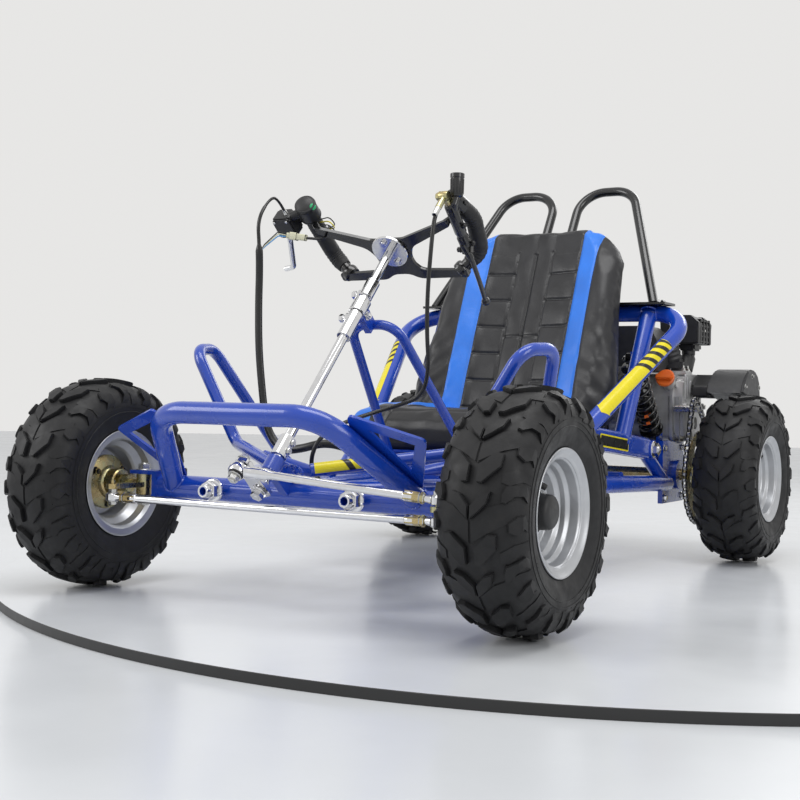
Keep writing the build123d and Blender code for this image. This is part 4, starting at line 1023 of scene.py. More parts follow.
def make_intake():
    """Black air filter box with a slotted side, its elbow, the carburettor and the grey cowl beside it."""
    bm = bmesh.new()
    low, high = Vector((192, 582, 466)), Vector((280, 678, 530))
    front = flat_outline([(low.x, low.z), (high.x, low.z), (high.x, high.z - 16), (high.x - 18, high.z),
                          (low.x + 8, high.z), (low.x, high.z - 10)], 4)
    prism(bm, front, (0, 600, 0), -Y_AXIS, X_AXIS, 18, 3)
    prism(bm, front, (0, high.y, 0), -Y_AXIS, X_AXIS, 14, 3)
    inner = [(x * 0.95 + 236 * 0.05, z * 0.95 + 498 * 0.05) for x, z in front]
    prism(bm, inner, (0, 670, 0), -Y_AXIS, X_AXIS, 76, 0)
    # Bars of the slotted side, with square gaps between them
    for k in range(5):
        brick(bm, (270, 600, 470 + k * 11.6), (279, 668, 474.5 + k * 11.6), 0.8)
    for k in range(4):
        brick(bm, (270, 600 + k * 21, 468), (279.6, 605 + k * 21, 522), 0.8)
    bolt(bm, (277, 634, 497), X_AXIS, 7, 2.5, False, mat=1)
    elbow = rounded([(246, 620, 472), (246, 620, 440), (244, 604, 408)], 22, 6)
    tube(bm, elbow, [15, 15, 15, 14, 14, 15, 16, 17, 17], 24)
    brick(bm, (228, 600, 452), (266, 652, 468), 4)
    piece("air_filter_box", bm, "chassis", [SATIN_BLACK, STEEL], ["air_filter"])
    bm = bmesh.new()
    brick(bm, (206, 556, 404), (252, 592, 432), 7)
    lathe(bm, [(0, 0), (0, 20), (5, 22), (10, 20), (15, 22), (20, 20), (25, 22), (30, 19), (30, 0)],
          (226, 574, 428), (-0.2, -0.3, 1), 32)
    cowl = flat_outline([(60, 400), (222, 400), (224, 470), (206, 500), (84, 500), (62, 470)], 18, 5)
    prism(bm, cowl, (0, 556, 0), -Y_AXIS, X_AXIS, 84, 12)
    piece("carburettor_and_cowl", bm, "chassis", CARBON_GREY)


STARTER = Vector((-20, 577, 330))


def make_covers():
    """Clutch cover over the left tyre and the recoil starter on the right."""
    bm = bmesh.new()
    along_x = dict(axis=X_AXIS, across=Y_AXIS)
    outline = [(556, 358), (566, 376), (584, 393), (608, 406), (636, 411), (662, 409), (682, 399), (696, 382),
               (704, 340), (640, 340), (600, 352)]
    prism(bm, outline, (308, 0, 0), height=78, edge=3, **along_x)
    prism(bm, [(y * 0.92 + 50, z * 0.92 + 30) for y, z in outline], (384, 0, 0), height=3.4, edge=1.6,
          **along_x)
    # The clutch drum behind the cover is dark grey in itself. It is made satin black as painted shade for the
    # shadow it lies in between the casting and the cover.
    back = flat_outline([(560, 346), (700, 346), (700, 384), (680, 398), (600, 398), (566, 372)], 10)
    prism(bm, back, (272, 0, 0), height=40, edge=5, mat=2, **along_x)
    for y, z in ((580, 372), (632, 396), (684, 372)):
        bolt(bm, (386.5, y, z), X_AXIS, 7, 3, True, mat=1)
    piece("drive_cover", bm, "chassis", [CARBON_GREY, STEEL, SATIN_BLACK], ["clutch_cover"])
    bm = bmesh.new()
    lathe(bm, [(0, 78), (4, 80), (60, 80), (68, 76), (70, 62), (72, 60), (90, 58), (94, 54), (95, 44), (93, 42),
               (93, 16), (96, 12), (96, 0)], STARTER, -X_AXIS, 64)
    for ring, count in ((50, 18), (34, 12)):
        for turn in circle(count):
            out = radial(turn)
            slot = STARTER + Vector((-92, 0, 0)) + out * ring
            prism(bm, plate(5, 2, 1.6, 2), slot, -X_AXIS, out, 2.2, 0.6, mat=2)
    for turn in circle(4):
        spot = STARTER + Vector((-68, 0, 0)) + radial(turn + math.pi / 4) * 71
        bolt(bm, spot, -X_AXIS, 8, 5, True, mat=1)
    brick(bm, (-96, 556, 388), (-66, 598, 404), 4)
    piece("recoil_starter", bm, "chassis", [CARBON_GREY, STEEL, SATIN_BLACK],
          ["engine_shroud"])


# Steering

BAR_OUTLINE = [(30, 24), (134, 60), (134, 46), (46, 6), (32, -20), (40, -48), (130, -52), (130, -68),
               (34, -68), (16, -56)]
HAND_TUBE = [(146, 96, 22), (160, 30, 40), (150, -40, 36), (112, -61, 9)]
HAND_BENDS = [0, 60, 30, 0]
PITMAN_END = on_shaft(-43, 62)
LINK_OUTER = Vector((KINGPIN_X, ARM_Y, 190))
TIE_ROD_Z = 160.0


def hand_line(side, cut=0.0):
    """The bowed middle of a hand tube, from its upper end."""
    line = rounded([bar_point(side * x, across, lift) for x, across, lift in HAND_TUBE], HAND_BENDS, 10)
    line[0] += (line[1] - line[0]).normalized() * cut
    return line


def make_column():
    """The chromed shaft with its clamp sleeves, the drop arm and the disc under the bar."""
    bm = bmesh.new()
    lathe(bm, [(-34, 0), (-34, 7.4), (-33, 8), (BAR_AT - 5, 8), (BAR_AT - 5, 0)], on_shaft(0), SHAFT_AXIS, 40)
    for low, high, r in ((36, 74, 13), (296, 352, 12), (392, 430, 12)):
        lathe(bm, band(low, high, r, 8), on_shaft(0), SHAFT_AXIS, 40)
    for along in (342, 399):
        prism(bm, plate(9, 5, 3), on_shaft(along, 0, -9), -X_AXIS, SHAFT_AXIS, 8, 0.8)
        disc(bm, on_shaft(along, 0, -16), -X_AXIS, 4.5, 8, 0.4)
        bolt(bm, on_shaft(along, 0, -20), -X_AXIS, 12.5, 7, False)
    for along in (48, 64):
        bolt(bm, on_shaft(along, 0, 11), X_AXIS, 9, 5, True, 0, 1)
    disc(bm, on_shaft(BAR_AT - 5), SHAFT_AXIS, 34, 5, 1.0, 64)
    for x, across in ((-3, 22), (8, -22)):
        bolt(bm, on_shaft(BAR_AT - 5, across, x), -SHAFT_AXIS, 10, 5)
    # Drop arm, the shaft's lower nut and the arm's bolt
    arm = flat_outline([(-16, 15), (16, 15), (12, -70), (-12, -70)], 11, 6)
    prism(bm, arm, on_shaft(-31), SHAFT_AXIS, X_AXIS, 8, 1.2)
    bolt(bm, on_shaft(-34), -SHAFT_AXIS, 17, 9, True, 3)
    lathe(bm, [(-55, 0), (-55, 4.6), (-54, 5), (-31, 5), (-31, 0)], on_shaft(0, 62), SHAFT_AXIS, 24)
    bolt(bm, on_shaft(-53, 62), -SHAFT_AXIS, 15, 8, True, 4, 1)
    bolt(bm, on_shaft(-23, 62), SHAFT_AXIS, 14, 6, True, 0, 1)
    piece("steering_shaft", bm, "steering", [CHROME, STEEL], ["steering_column"])


def link_end(bm, eye, axis, along, bore):
    """A rod end: an eye round its bolt, a neck, a lock nut and the hexagon of the rod."""
    eye, along = Vector(eye), Vector(along).normalized()
    lathe(bm, band(-6, 6, 11, bore, 1), eye, axis, 36, closed=True)
    lathe(bm, [(9, 0), (9, 6.5), (18, 5), (26, 5), (26, 0)], eye, along, 24)
    prism(bm, hexagon(15), eye + along * 20, along, height=6, edge=0.7, mat=1)
    prism(bm, hexagon(13.6), eye + along * 27, along, height=24, edge=0.7, mat=1)


def make_links():
    left_eye, right_eye = (Vector((side * KINGPIN_X, ARM_Y, TIE_ROD_Z)) for side in (1, -1))
    for name, low, high in (("tie_rod", right_eye, left_eye), ("drag_link", PITMAN_END, LINK_OUTER)):
        bm = bmesh.new()
        run = (high - low).normalized()
        link_end(bm, high, Z_AXIS, -run, 4.6)
        if name == "tie_rod":
            link_end(bm, low, Z_AXIS, run, 4.6)
            near = 44.0
        else:
            lathe(bm, [(-7, 8.8), (-7, 13), (-5, 14), (5, 14), (7, 13), (7, 8.8)], low, SHAFT_AXIS, 40,
                  closed=True)
            lathe(bm, [(-11, 5.4), (-11, 9), (-7, 12), (-6, 12), (-6, 5.4)], low, SHAFT_AXIS, 32, 2,
                  closed=True)
            lathe(bm, [(12, 0), (12, 8), (20, 8), (24, 9), (46, 9), (52, 6.5), (60, 6), (60, 0)], low, run, 32)
            near = 56.0
        far = (high - low).length - 44
        lathe(bm, [(near, 0), (near, 6), (far, 6), (far, 0)], low, run, 32)
        for spot in (far, near) if name == "tie_rod" else (far,):
            lathe(bm, [(spot - 8, 6), (spot - 6, 7.2), (spot + 6, 7.2), (spot + 8, 6)], low, run, 32)
        piece(name + "_bar", bm, name, [CHROME, GOLD_ZINC, GRIP], [name])
    bm = bmesh.new()
    for side in (-1, 1):
        for way in (-1, 1):
            pin = Vector((side * KINGPIN_X, FRONT_Y, WHEEL_Z + way * 24))
            bolt(bm, pin, (0, 0, way), 19, 9, True, 3)
    piece("kingpin_nuts", bm, "chassis", STEEL)
    for name, side, top in (("left", 1, 196), ("right", -1, 166)):
        bm = bmesh.new()
        tip = Vector((side * KINGPIN_X, ARM_Y, 0))
        bolt(bm, tip + Vector((0, 0, top)), Z_AXIS, 13, 6, True, 4)
        bolt(bm, tip + Vector((0, 0, 154)), -Z_AXIS, 13, 5)
        piece(f"knuckle_bolts_{name}", bm, f"knuckle_{name}", STEEL)


def make_handlebar():
    """The cut plate, the two bowed hand tubes with their ends, and the foam grips on them."""
    bm = bmesh.new()
    corners = [(x, -v) for x, v in BAR_OUTLINE] + [(-x, -v) for x, v in reversed(BAR_OUTLINE)]
    radii = [34 if abs(x) < 60 else 2 for x, _ in corners]
    prism(bm, flat_outline(corners, radii, 6), on_shaft(BAR_AT), SHAFT_AXIS, X_AXIS, 6, 0.9)
    for side in (-1, 1):
        line = hand_line(side)
        tube(bm, line, 11, 24)
        tube(bm, [bar_point(side * 128, 53, 3), bar_point(side * 154, 56, 30)], 6, 16)
        lathe(bm, [(-2, 0), (-2, 9), (0, 12), (3, 12.4), (5, 12), (5, 0)], line[0], line[1] - line[0], 28)
        low = (line[-2] - line[-1]).normalized()
        lathe(bm, [(-3, 0), (-3, 12), (-1, 15), (3, 15.6), (9, 15.6), (12, 14.4), (14, 11)], line[-1], low,
              32)
    piece("handlebar_frame", bm, "steering", GLOSS_BLACK, ["handlebar"])
    for name, side in (("left", 1), ("right", -1)):
        bm = bmesh.new()
        line = hand_line(side, 38)
        line[-1] = line[-1].lerp(line[-2], 0.5)
        fine = [line[i].lerp(line[i + 1], k / 3) for i in range(len(line) - 1) for k in range(3)]
        count = len(fine)
        swell = [14.6 - 2.2 * math.exp(-i / 1.3) - 1.6 * math.exp(-(count - 1 - i) / 1.3)
                 + 0.35 * math.sin(0.9 * i) for i in range(count)]
        tube(bm, fine, swell, 32)
        piece(f"foam_grip_{name}", bm, "steering", GRIP, [f"grip_{name}"])


def clamp_band(bm, side, start, end, radius):
    """A band round the upper end of a hand tube; returns that end and the tube's direction there."""
    top, on = bar_point(side * 146, 96, 22), bar_point(side * 160, 30, 40)
    run = (on - top).normalized()
    lathe(bm, band(0, end - start, radius, 8, 1.5), top + run * start, run, 32)
    return top, run


CUP = Vector((163, -334, 0))


def make_brake_master():
    """The brake lever, its master cylinder, fluid cup and hose union on the left hand tube."""
    bm = bmesh.new()
    top, run = clamp_band(bm, 1, 4, 37, 16.5)
    for away in (9, 31):
        for face in (Vector((-0.55, -0.8, 0.1)), Vector((0.8, -0.5, 0.1))):
            bolt(bm, top + run * away + face.normalized() * 15, face, 7.5, 5, True, 0)
    foot, head = bar_point(148, 2, 4), bar_point(150, 92, 6)
    axis = (head - foot).normalized()
    long = (head - foot).length
    lathe(bm, [(-6, 0), (-6, 7), (-2, 8), (0, 10), (18, 10.5), (20, 9.2), (26, 9.2), (28, 10.5),
               (long - 6, 10.5), (long - 2, 9), (long, 6), (long, 0)], foot, axis, 32)
    brick_low = foot + Vector((-9, -4, -16))
    brick(bm, brick_low, brick_low + Vector((20, 14, 26)), 3)
    tube(bm, [foot + axis * 62, (top + run * 20)], 9, 16)
    for spot in (Vector((-9, 0, -8)), Vector((11, 0, 2)), axis * 40 + Vector((10, -4, 0))):
        bolt(bm, foot + spot, (-1 if spot.x < 0 else 1, -0.4, 0), 8, 5, True, 2)
    # Cup on its stem, with ribs and a pale lid
    tube(bm, [bar_point(150, 70, 6), Vector((161, -338, 655)), CUP + Vector((0, 0, 668))], [7, 6.4, 6], 16)
    lathe(bm, [(660, 0), (664, 6), (666, 9.8), (668, 10.6), (696, 10.9), (697, 12), (703, 12), (704, 10.8),
               (704, 0)], CUP, Z_AXIS, 40)
    for turn in circle(14):
        x, y = math.cos(turn), math.sin(turn)
        tube(bm, [CUP + Vector((x * 10.5, y * 10.5, 670)), CUP + Vector((x * 10.8, y * 10.8, 695))], 0.9, 6)
    lathe(bm, [(703.4, 0), (703.4, 9), (704.2, 9.4), (704.4, 0)], CUP, Z_AXIS, 32, 1)
    for x in (-5, 5):
        disc(bm, CUP + Vector((x, 0, 703)), Z_AXIS, 2.6, 1.4, 0.3, 12, 2)
    # Union: an eye between washers on a bolt, and the hose's crimped end
    bolt_from, bolt_to = bar_point(139, 108, 4), bar_point(158, 108, 4)
    tube(bm, [bar_point(150, 86, 6), bar_point(148, 104, 4)], 7, 20, 1)
    lathe(bm, [(2, 0), (2, 8), (4, 8.4), (15, 8.4), (17, 8), (17, 0)], bolt_from, bolt_to - bolt_from, 28, 1)
    bolt(bm, bolt_from + Vector((2, 0, 0)), -X_AXIS, 12, 6, True, 0, 1)
    down = -SHAFT_AXIS
    union = bar_point(148, 108, 4)
    lathe(bm, [(4, 0), (4, 4.6), (14, 4.2), (15, 5.6), (30, 5.6), (31, 4.6), (31, 0)], union, down, 24, 1)
    lathe(bm, [(30, 3), (30, 5.0), (47, 5.0), (48, 4.2), (48, 3)], union, down, 24, 2)
    # Lever with its ball end
    path = rounded([bar_point(*p) for p in [(147, 8, -2), (154, -24, -6), (150, -74, -6), (141, -126, 0)]],
                   [0, 40, 60, 0], 8)
    tube(bm, path, [7.0 - 2.4 * min(1, i / 6) for i in range(len(path))], 18, squeeze=0.85)
    tip = bar_point(141, -126, 0)
    aim = (path[-1] - path[-2]).normalized()
    lathe(bm, [(-7, 4), (-5, 6.4), (0, 8), (5, 6.4), (7.4, 3), (8, 0)], tip, aim, 24)
    piece("brake_master", bm, "steering", [GLOSS_BLACK, GOLD_ZINC, STEEL], ["brake_lever"])


def make_throttle():
    """The throttle box, its clamp housing with a green switch, the cranked lever and the switch's lead."""
    bm = bmesh.new()
    top, run = clamp_band(bm, -1, -3, 37, 19)
    lathe(bm, [(-5, 0), (-5, 13), (-3, 16), (-3, 0)], top, run, 32)
    for away in (2, 32):
        lathe(bm, [(away, 19), (away, 19.7), (away + 1.6, 19.7), (away + 1.6, 19)], top, run, 32)
    button = Vector((0.86, -0.5, 0.1)).normalized()
    lathe(bm, [(14, 9), (19.6, 8.6), (20, 6.6), (20, 0)], top + run * 14, button, 24)
    lathe(bm, [(19, 0), (19, 6.2), (22.4, 6), (23.4, 4.6), (23.8, 0)], top + run * 14, button, 24, 1)
    tube(bm, [bar_point(-180, 78, 14), bar_point(-150, 82, 24)], 8.5, 18)
    prism(bm, plate(19, 22, 6, 4), on_shaft(BAR_AT, 64, -195), SHAFT_AXIS, X_AXIS, 26, 3)
    prism(bm, plate(17.48, 20.24, 5.52, 4), on_shaft(BAR_AT - 3, 64, -195), SHAFT_AXIS, X_AXIS, 5, 1.4)
    for x, across in ((-208, 80), (-182, 80), (-208, 48), (-182, 48)):
        disc(bm, on_shaft(BAR_AT - 3.4, across, x), -SHAFT_AXIS, 2.6, 1.6, 0.4, 12, 3)
    tube(bm, [bar_point(-190, 64, 28), bar_point(-160, 50, 34)], 6, 14)
    # Cable adjuster with its nut
    start, on = CABLE_TURN[0], CABLE_TURN[1]
    aim = (on - start).normalized()
    lathe(bm, [(-14, 0), (-14, 4.6), (2, 4.4), (3, 3.6), (9, 3.4), (9, 0)], start, aim, 20, 3)
    prism(bm, hexagon(9.5), start - aim * 6, aim, height=4.5, edge=0.5, mat=3)
    # Thumb lever
    corners = [bar_point(*p) for p in [(-196, 56, 8), (-202, 30, 4), (-226, -32, 4), (-246, -36, 4)]]
    lever = rounded(corners, [0, 30, 10, 0], 8)
    tube(bm, lever, 5.2, 18, 2)
    disc(bm, lever[-1], lever[-1] - lever[-2], 4.2, 2.4, 0.8, 20, 2)
    disc(bm, bar_point(-192, 50, 2), SHAFT_AXIS, 9, 14, 1, 24, 3)
    # The switch's lead, its connector and the three wires into the cable's sleeve
    lead = rounded([(-138, -262, 640), (-121, -296, 616), (-113, -328, 608), (-127, -350, 608)], 18, 6)
    tube(bm, lead, 2.4, 10)
    plug, socket = Vector((-126, -350, 608)), Vector((-166, -352, 614))
    slide = (socket - plug).normalized()
    for begin, end, wide in ((0, 20, 5.6), (18, 34, 6.8), (33, 41, 5.0)):
        prism(bm, plate(wide, wide * 0.8, 2), plug + slide * begin, slide, height=end - begin, edge=1.0, mat=4)
    for k, mat in enumerate((5, 4, 0)):
        shift = Vector((0, 0, 2.4 * (k - 1)))
        wire = rounded([socket + shift, socket + Vector((-9, -14, 2)) + shift * 1.6,
                        Vector((-180, -398, 592)) + shift, Vector((-184, -407, 580))], 10, 5)
        tube(bm, wire, 1.1, 8, mat)
    for k in range(3):
        turn = rounded([(-142, -285, 650 - 5 * k), (-118, -292, 652 - 7 * k), (-112, -280, 640 - 6 * k),
                        (-138, -266, 634)], 9, 5)
        tube(bm, turn, 1.1, 8, (0, 6, 0)[k])
    piece("throttle_assembly", bm, "steering", [SATIN_BLACK, GREEN, CHROME, STEEL, CREAM, SKY, YELLOW],
          ["throttle_control"])


# Frame fittings and films

def weld(bm, origin, axis, radius, other, other_axis, other_radius, size=2.4):
    """A bead where a tube meets a round one, seen along the first tube's axis."""
    m, other, other_axis = basis(origin, axis), Vector(other), Vector(other_axis).normalized()
    ahead = Vector(axis).normalized()
    slope = ahead - other_axis * ahead.dot(other_axis)
    points = []
    for turn in circle(60):
        foot = m @ Vector((radius * math.cos(turn), radius * math.sin(turn), 0))
        away = foot - other
        away -= other_axis * away.dot(other_axis)
        a, b, c = slope.dot(slope), away.dot(slope), away.dot(away) - other_radius ** 2
        points.append(foot + ahead * (-b - math.sqrt(max(b * b - a * c, 0))) / a)
    tube(bm, points, [size * (0.85 + 0.2 * math.sin(k * 2.6)) for k in range(60)], 6, closed=True)


def bead(bm, start, end):
    """A straight bead of overlapping drops."""
    start, end = Vector(start), Vector(end)
    count = max(6, round((end - start).length / 3))
    tube(bm, [start.lerp(end, k / count) for k in range(count + 1)],
         [2.2 * (0.85 + 0.25 * math.sin(k * 2.4)) for k in range(count + 1)], 6)


def make_welds():
    """The beads where tubes meet the front beam, the rails and each other, and along the gussets."""
    bm = bmesh.new()
    beam = (0, FRONT_Y, WHEEL_Z)
    for side in (-1, 1):
        knee = Vector((side * 150, FRONT_Y - 146, WHEEL_Z + 125))
        foot = Vector((side * 235, FRONT_Y, WHEEL_Z))
        weld(bm, knee, foot - knee, TUBE_R, beam, X_AXIS, BEAM_R, 2.8)
        weld(bm, (side * 133, FRONT_Y - 60, WHEEL_Z), Y_AXIS, 10.4, beam, X_AXIS, BEAM_R)
        weld(bm, (side * 45, -400, 190), (0, FRONT_Y + 400, WHEEL_Z - 180), CROSS_R, beam, X_AXIS, BEAM_R)
        rail, rail_end = Vector((side * RAIL_X, -330, 190)), Vector((side * 70, FRONT_Y, WHEEL_Z + 6))
        weld(bm, rail.lerp(rail_end, 0.6), rail_end - rail, TUBE_R, beam, X_AXIS, BEAM_R, 2.8)
        loop = Vector((side * 222, -410, 247))
        near = Vector((side * 30, -546, 216))
        weld(bm, loop.lerp(near, 0.6), near - loop, LOOP_R, beam, X_AXIS, BEAM_R)
        top, low = Vector((side * RAIL_X, 374, 515)), Vector((side * 236, 238, 250))
        weld(bm, low.lerp(top, 0.5), low - top, TUBE_R, (side * 236, 66, 266), Vector((0, 304, -28)), 20, 2.8)
        weld(bm, low.lerp(top, 0.5), top - low, TUBE_R, (0, 388, 520), X_AXIS, TUBE_R, 2.8)
        hoop, deck = Vector((side * 90, -90, 190)), on_shaft(376, -49, side * 46)
        weld(bm, hoop.lerp(deck, 0.4), hoop - deck, COLUMN_HOOP_R, (0, -90, 190), X_AXIS, CROSS_R)
        weld(bm, (side * 190, -372, 224), (-side * 145, 0, -32), 11, (side * 45, 0, 188), Y_AXIS, CROSS_R)
        # Along the gusset, where it lies on the bumper's tube
        normal = Vector((0, 128, 146)).normalized()
        plane = basis(Vector((0, FRONT_Y, WHEEL_Z)) + normal * 14.5, normal, (side, 0, 0))
        for a, b in (((172, 141), (212, 14)), ((212, 14), (232, 6))):
            bead(bm, plane @ Vector((a[0] + 1, -side * a[1], 1)), plane @ Vector((b[0] + 1, -side * b[1], 1)))
    piece("weld_beads", bm, "chassis", BLUE)


def make_fittings():
    """Chromed bosses on the beam, nuts and bolts on the frame, and ties that hold the hoses."""
    bm = bmesh.new()
    for side in (-1, 1):
        spot, ahead = (side * 133, FRONT_Y, WHEEL_Z), -Y_AXIS
        lathe(bm, [(19, 6.1), (19, 10.5), (26.5, 10.5), (26.5, 18), (27.5, 19.5), (30.5, 19.5), (31.5, 18),
                   (31.5, 10.5), (53.2, 10.5), (54.4, 9.6), (54.4, 7), (53.6, 6.1)],
              spot, ahead, 48, closed=True)
        lathe(bm, [(29.5, 9), (29.5, 15.4), (30.5, 16.6), (43.5, 16.6), (44.5, 15.4), (44.5, 9)],
              spot, ahead, 6, closed=True)
    lathe(bm, [(353, 8.7), (353, 14), (354, 14.8), (382, 14.8), (383, 14), (383, 8.7)],
          on_shaft(0), SHAFT_AXIS, 40, closed=True)
    bolt(bm, on_shaft(368, -20, 6), X_AXIS, 11, 5, True, 3)
    bolt(bm, on_shaft(368, -20, -6), -X_AXIS, 11, 6, True, 3)
    for side in (-1, 1):
        bolt(bm, (side * 253, 384, 236), (side, 0, 0), 24, 10, True, 5)
        bolt(bm, (side * 228, 352, 424), (side, 0, 0), 15, 7, True, 4)
        for y, z in ((470, 236), (590, 236), (590, 130), (478, 130)):
            bolt(bm, (side * 245, y, z), (side, 0, 0), 11, 5, True, 2)
        for x, y in ((side * 262, 360), (side * 262, 398)):
            bolt(bm, (x, y, 541), Z_AXIS, 12, 5, True, 3)
        bolt(bm, (side * 150, -90, 177), -Z_AXIS, 10, 5)
        for y in (-60, 190):
            bolt(bm, (side * 120, y + 14, 205), Y_AXIS, 11, 5, True, 2)
    for x, y in ((-120, 490), (-120, 596), (150, 490), (150, 596)):
        bolt(bm, (x, y, 249), Z_AXIS, 13, 6, True, 4)
    piece("frame_fasteners", bm, "chassis", CHROME)

    bm = bmesh.new()
    ties = [((0, -90, 174), (17, 16.5)), ((0, 60, 174), (17, 16.5)), ((0, 235, 167), (21, 18.5))]
    for centre, (wide, high) in ties:
        loop = [Vector(centre) + Vector((math.cos(t) * (wide + 5), 0, math.sin(t) * (high + 4)))
                for t in circle(40)]
        for shift in (-1.4, 1.4):
            tube(bm, [p + Vector((0, shift, 0)) for p in loop], 1.6, 6, closed=True)
        brick(bm, Vector(centre) + Vector((wide + 2, -4, -4)), Vector(centre) + Vector((wide + 9, 4, 5)), 1)
    piece("cable_ties", bm, "chassis", SATIN_BLACK)


def film(bm, outline, start, axis, radius, face, mat, lift=0.35):
    """A thin film on a tube: outline holds (along, round) points in millimetres."""
    m = basis(start, axis, face)

    def place(along, around, height):
        turn, r = around / radius, radius + lift + height
        return m @ Vector((r * math.cos(turn), r * math.sin(turn), along))

    raised(bm, outline, 0.15, place, 4.0, 0.3, 0, mat)


def hazard(bm, start, axis, radius, face, low, high, half, arrow, striped):
    """A yellow film with slanting black stripes on its upper share, and an arrow's head at its foot."""
    body = [(low + arrow, -half), (high, -half), (high, half), (low + arrow, half)]
    if arrow:
        body += [(low + arrow, half + 5), (low, 0), (low + arrow, -half - 5)]
    film(bm, body, start, axis, radius, face, 0)
    at, lean = high - (high - low) * striped, 14.0
    while at < high - 8:
        stripe = [(at, -half), (at + 10, -half), (min(at + 10 + lean, high), half),
                  (min(at + lean, high - 1), half)]
        film(bm, stripe, start, axis, radius, face, 1, 0.6)
        at += 22


def make_films():
    """Hazard films on the rear hoop and the left side loop, and a blank plate on each rail."""
    bm = bmesh.new()
    for side in (-1, 1):
        start, end = Vector((side * 236, 57, 280)), Vector((side * 338, 388, 520))
        hazard(bm, start, end - start, TUBE_R, (side * 0.62, -0.55, 0.55), 42, 292, 15, 16, 0.40)
        low, high = Vector((side * 30, -546, 216)), Vector((side * 222, -410, 247))
        if side == 1:
            hazard(bm, low, high - low, LOOP_R, (0.15, -0.85, 0.5), 6, 96, 12, 0, 0.55)
        # Blank plate with a yellow border on the box rail
        rail_run = Vector((0, 0.996, -0.092)).normalized()
        middle = Vector((side * 251.3, 92, 261)) + rail_run * 75
        for size, lift, mat in (((75, 12.5), 0, 0), ((72, 9.5), 0.35, 1)):
            origin = middle + Vector((side * lift, 0, 0))
            prism(bm, plate(*size, 2.5, 4), origin, (side, 0, 0), rail_run, 0.5, 0, mat)
    piece("safety_films", bm, "chassis", [YELLOW, INK])


# Surroundings

TABLE_R = 1130.0
FLOOR_R = 9000.0


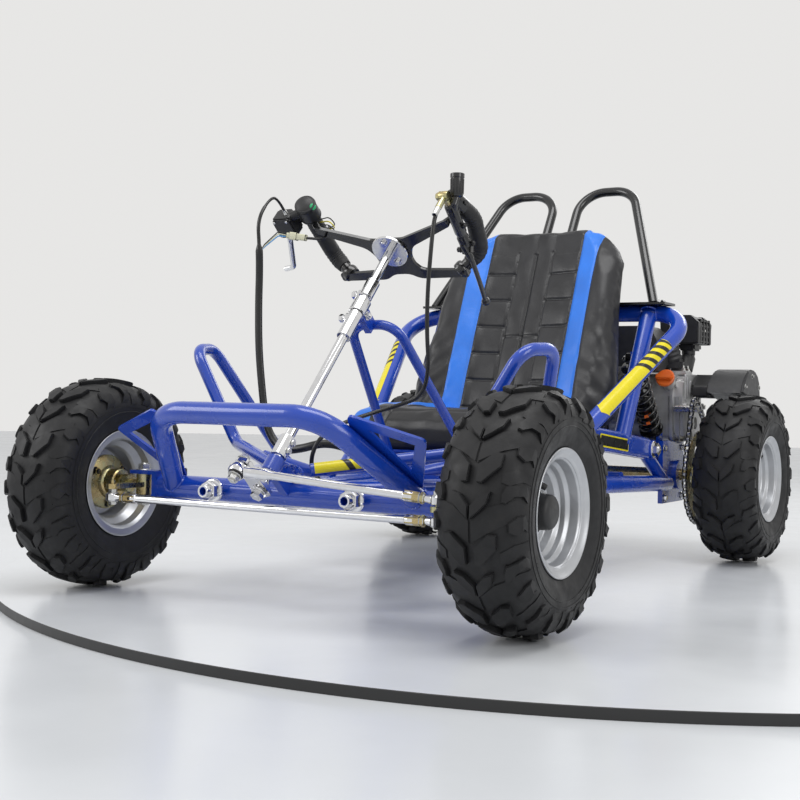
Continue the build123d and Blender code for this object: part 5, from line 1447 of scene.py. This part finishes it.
def make_stage():
    """A turntable with a dark rim on a wide pale floor, soft lamps and a pale world."""
    bm = bmesh.new()
    lathe(bm, [(-60, 0), (-60, FLOOR_R), (-14, FLOOR_R), (-14, TABLE_R), (-1, TABLE_R), (0, TABLE_R - 1),
               (0, 0)], (220, 170, 0), Z_AXIS, 200)
    bmesh.ops.scale(bm, vec=(MM, MM, MM), verts=bm.verts)
    bmesh.ops.recalc_face_normals(bm, faces=bm.faces)
    mesh = bpy.data.meshes.new("floor")
    bm.to_mesh(mesh)
    bm.free()
    floor = bpy.data.objects.new("floor", mesh)
    bpy.context.collection.objects.link(floor)
    mesh.materials.append(surface("floor_white", tones((0.80, 0.815, 0.83), 0.02), (0.18, 0.26), 3, 5))
    mesh.materials.append(surface("floor_edge", tones((0.02, 0.02, 0.02), 0.1), (0.4, 0.5), 3, 5))
    for face in mesh.polygons:
        low = min(mesh.vertices[i].co.z for i in face.vertices)
        if abs(face.normal.z) < 0.8 and low > -0.02:
            face.material_index = 1

    def lamp(name, place, aim, size, power):
        light = bpy.data.lights.new(name, "AREA")
        light.shape, light.size, light.size_y, light.energy = "RECTANGLE", size[0], size[1], power
        obj = bpy.data.objects.new(name, light)
        bpy.context.collection.objects.link(obj)
        obj.location = place
        obj.rotation_euler = (Vector(aim) - Vector(place)).to_track_quat("-Z", "Y").to_euler()

    lamp("top_lamp", (0.4, -0.6, 2.9), (0, 0, 0.2), (2.2, 1.2), 36)
    lamp("left_lamp", (-2.4, -2.4, 1.9), (0, -0.2, 0.3), (1.6, 1.6), 34)
    lamp("right_lamp", (3.0, -1.2, 1.7), (0.2, 0.0, 0.3), (1.4, 1.6), 22)
    lamp("back_lamp", (0.6, 3.0, 2.2), (0, 0.3, 0.4), (2.0, 1.0), 22)

    world = bpy.data.worlds.new("studio")
    bpy.context.scene.world = world
    world.use_nodes = True
    tree = world.node_tree
    plain = tree.nodes["Background"]
    plain.inputs["Color"].default_value = (0.80, 0.82, 0.85, 1)
    plain.inputs["Strength"].default_value = 0.55
    seen = tree.nodes.new("ShaderNodeBackground")
    seen.inputs["Color"].default_value = (0.80, 0.795, 0.785, 1)
    seen.inputs["Strength"].default_value = 1.0
    path, mix, most = (tree.nodes.new("ShaderNode" + kind) for kind in ("LightPath", "MixShader", "Math"))
    most.operation = "MAXIMUM"
    tree.links.new(path.outputs["Is Camera Ray"], most.inputs[0])
    tree.links.new(path.outputs["Is Glossy Ray"], most.inputs[1])
    tree.links.new(most.outputs[0], mix.inputs["Fac"])
    tree.links.new(plain.outputs[0], mix.inputs[1])
    tree.links.new(seen.outputs[0], mix.inputs[2])
    tree.links.new(mix.outputs[0], tree.nodes["World Output"].inputs["Surface"])
    bpy.context.scene.view_settings.view_transform = "Standard"


# Materials on the nodes that are shown as they are

NODE_LOOKS = {
    BLUE: ["front_beam", "front_bumper", "floor_frame", "side_loop_left", "side_loop_right", "column_hoop",
           "rear_hoop", "rear_subframe"],
    GLOSS_BLACK: ["roll_hoops", "handlebar", "shock_left", "shock_right", "brake_lever"],
    SATIN_BLACK: ["chain", "spring_left", "spring_right", "throttle_control", "air_filter", "seat_cushion",
                  "seat_back"],
    CARBON_GREY: ["clutch_cover", "engine_shroud"],
    ALLOY: ["engine_block", "brake_caliper"],
    ORANGE: ["oil_cap"],
    GRIP: ["grip_left", "grip_right"],
    CHROME: ["steering_column", "tie_rod", "drag_link"],
    GOLD_ZINC: ["knuckle_left", "knuckle_right", "rear_axle"],
}


def dress_nodes():
    """Materials and smooth shading on the frame's own nodes."""
    for look, names in NODE_LOOKS.items():
        for name in names:
            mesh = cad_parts[name].data
            mesh.materials.clear()
            mesh.materials.append(look)
            mesh.polygons.foreach_set("use_smooth", [True] * len(mesh.polygons))
            mesh.set_sharp_from_angle(angle=math.radians(32))


for make in (make_camera, make_hoses, make_stage, dress_nodes, make_column, make_links, make_handlebar,
             make_brake_master, make_throttle, make_welds, make_fittings, make_films, make_wheels, make_hubs,
             make_seat, make_shocks, make_chain, make_engine, make_intake, make_covers):
    make()
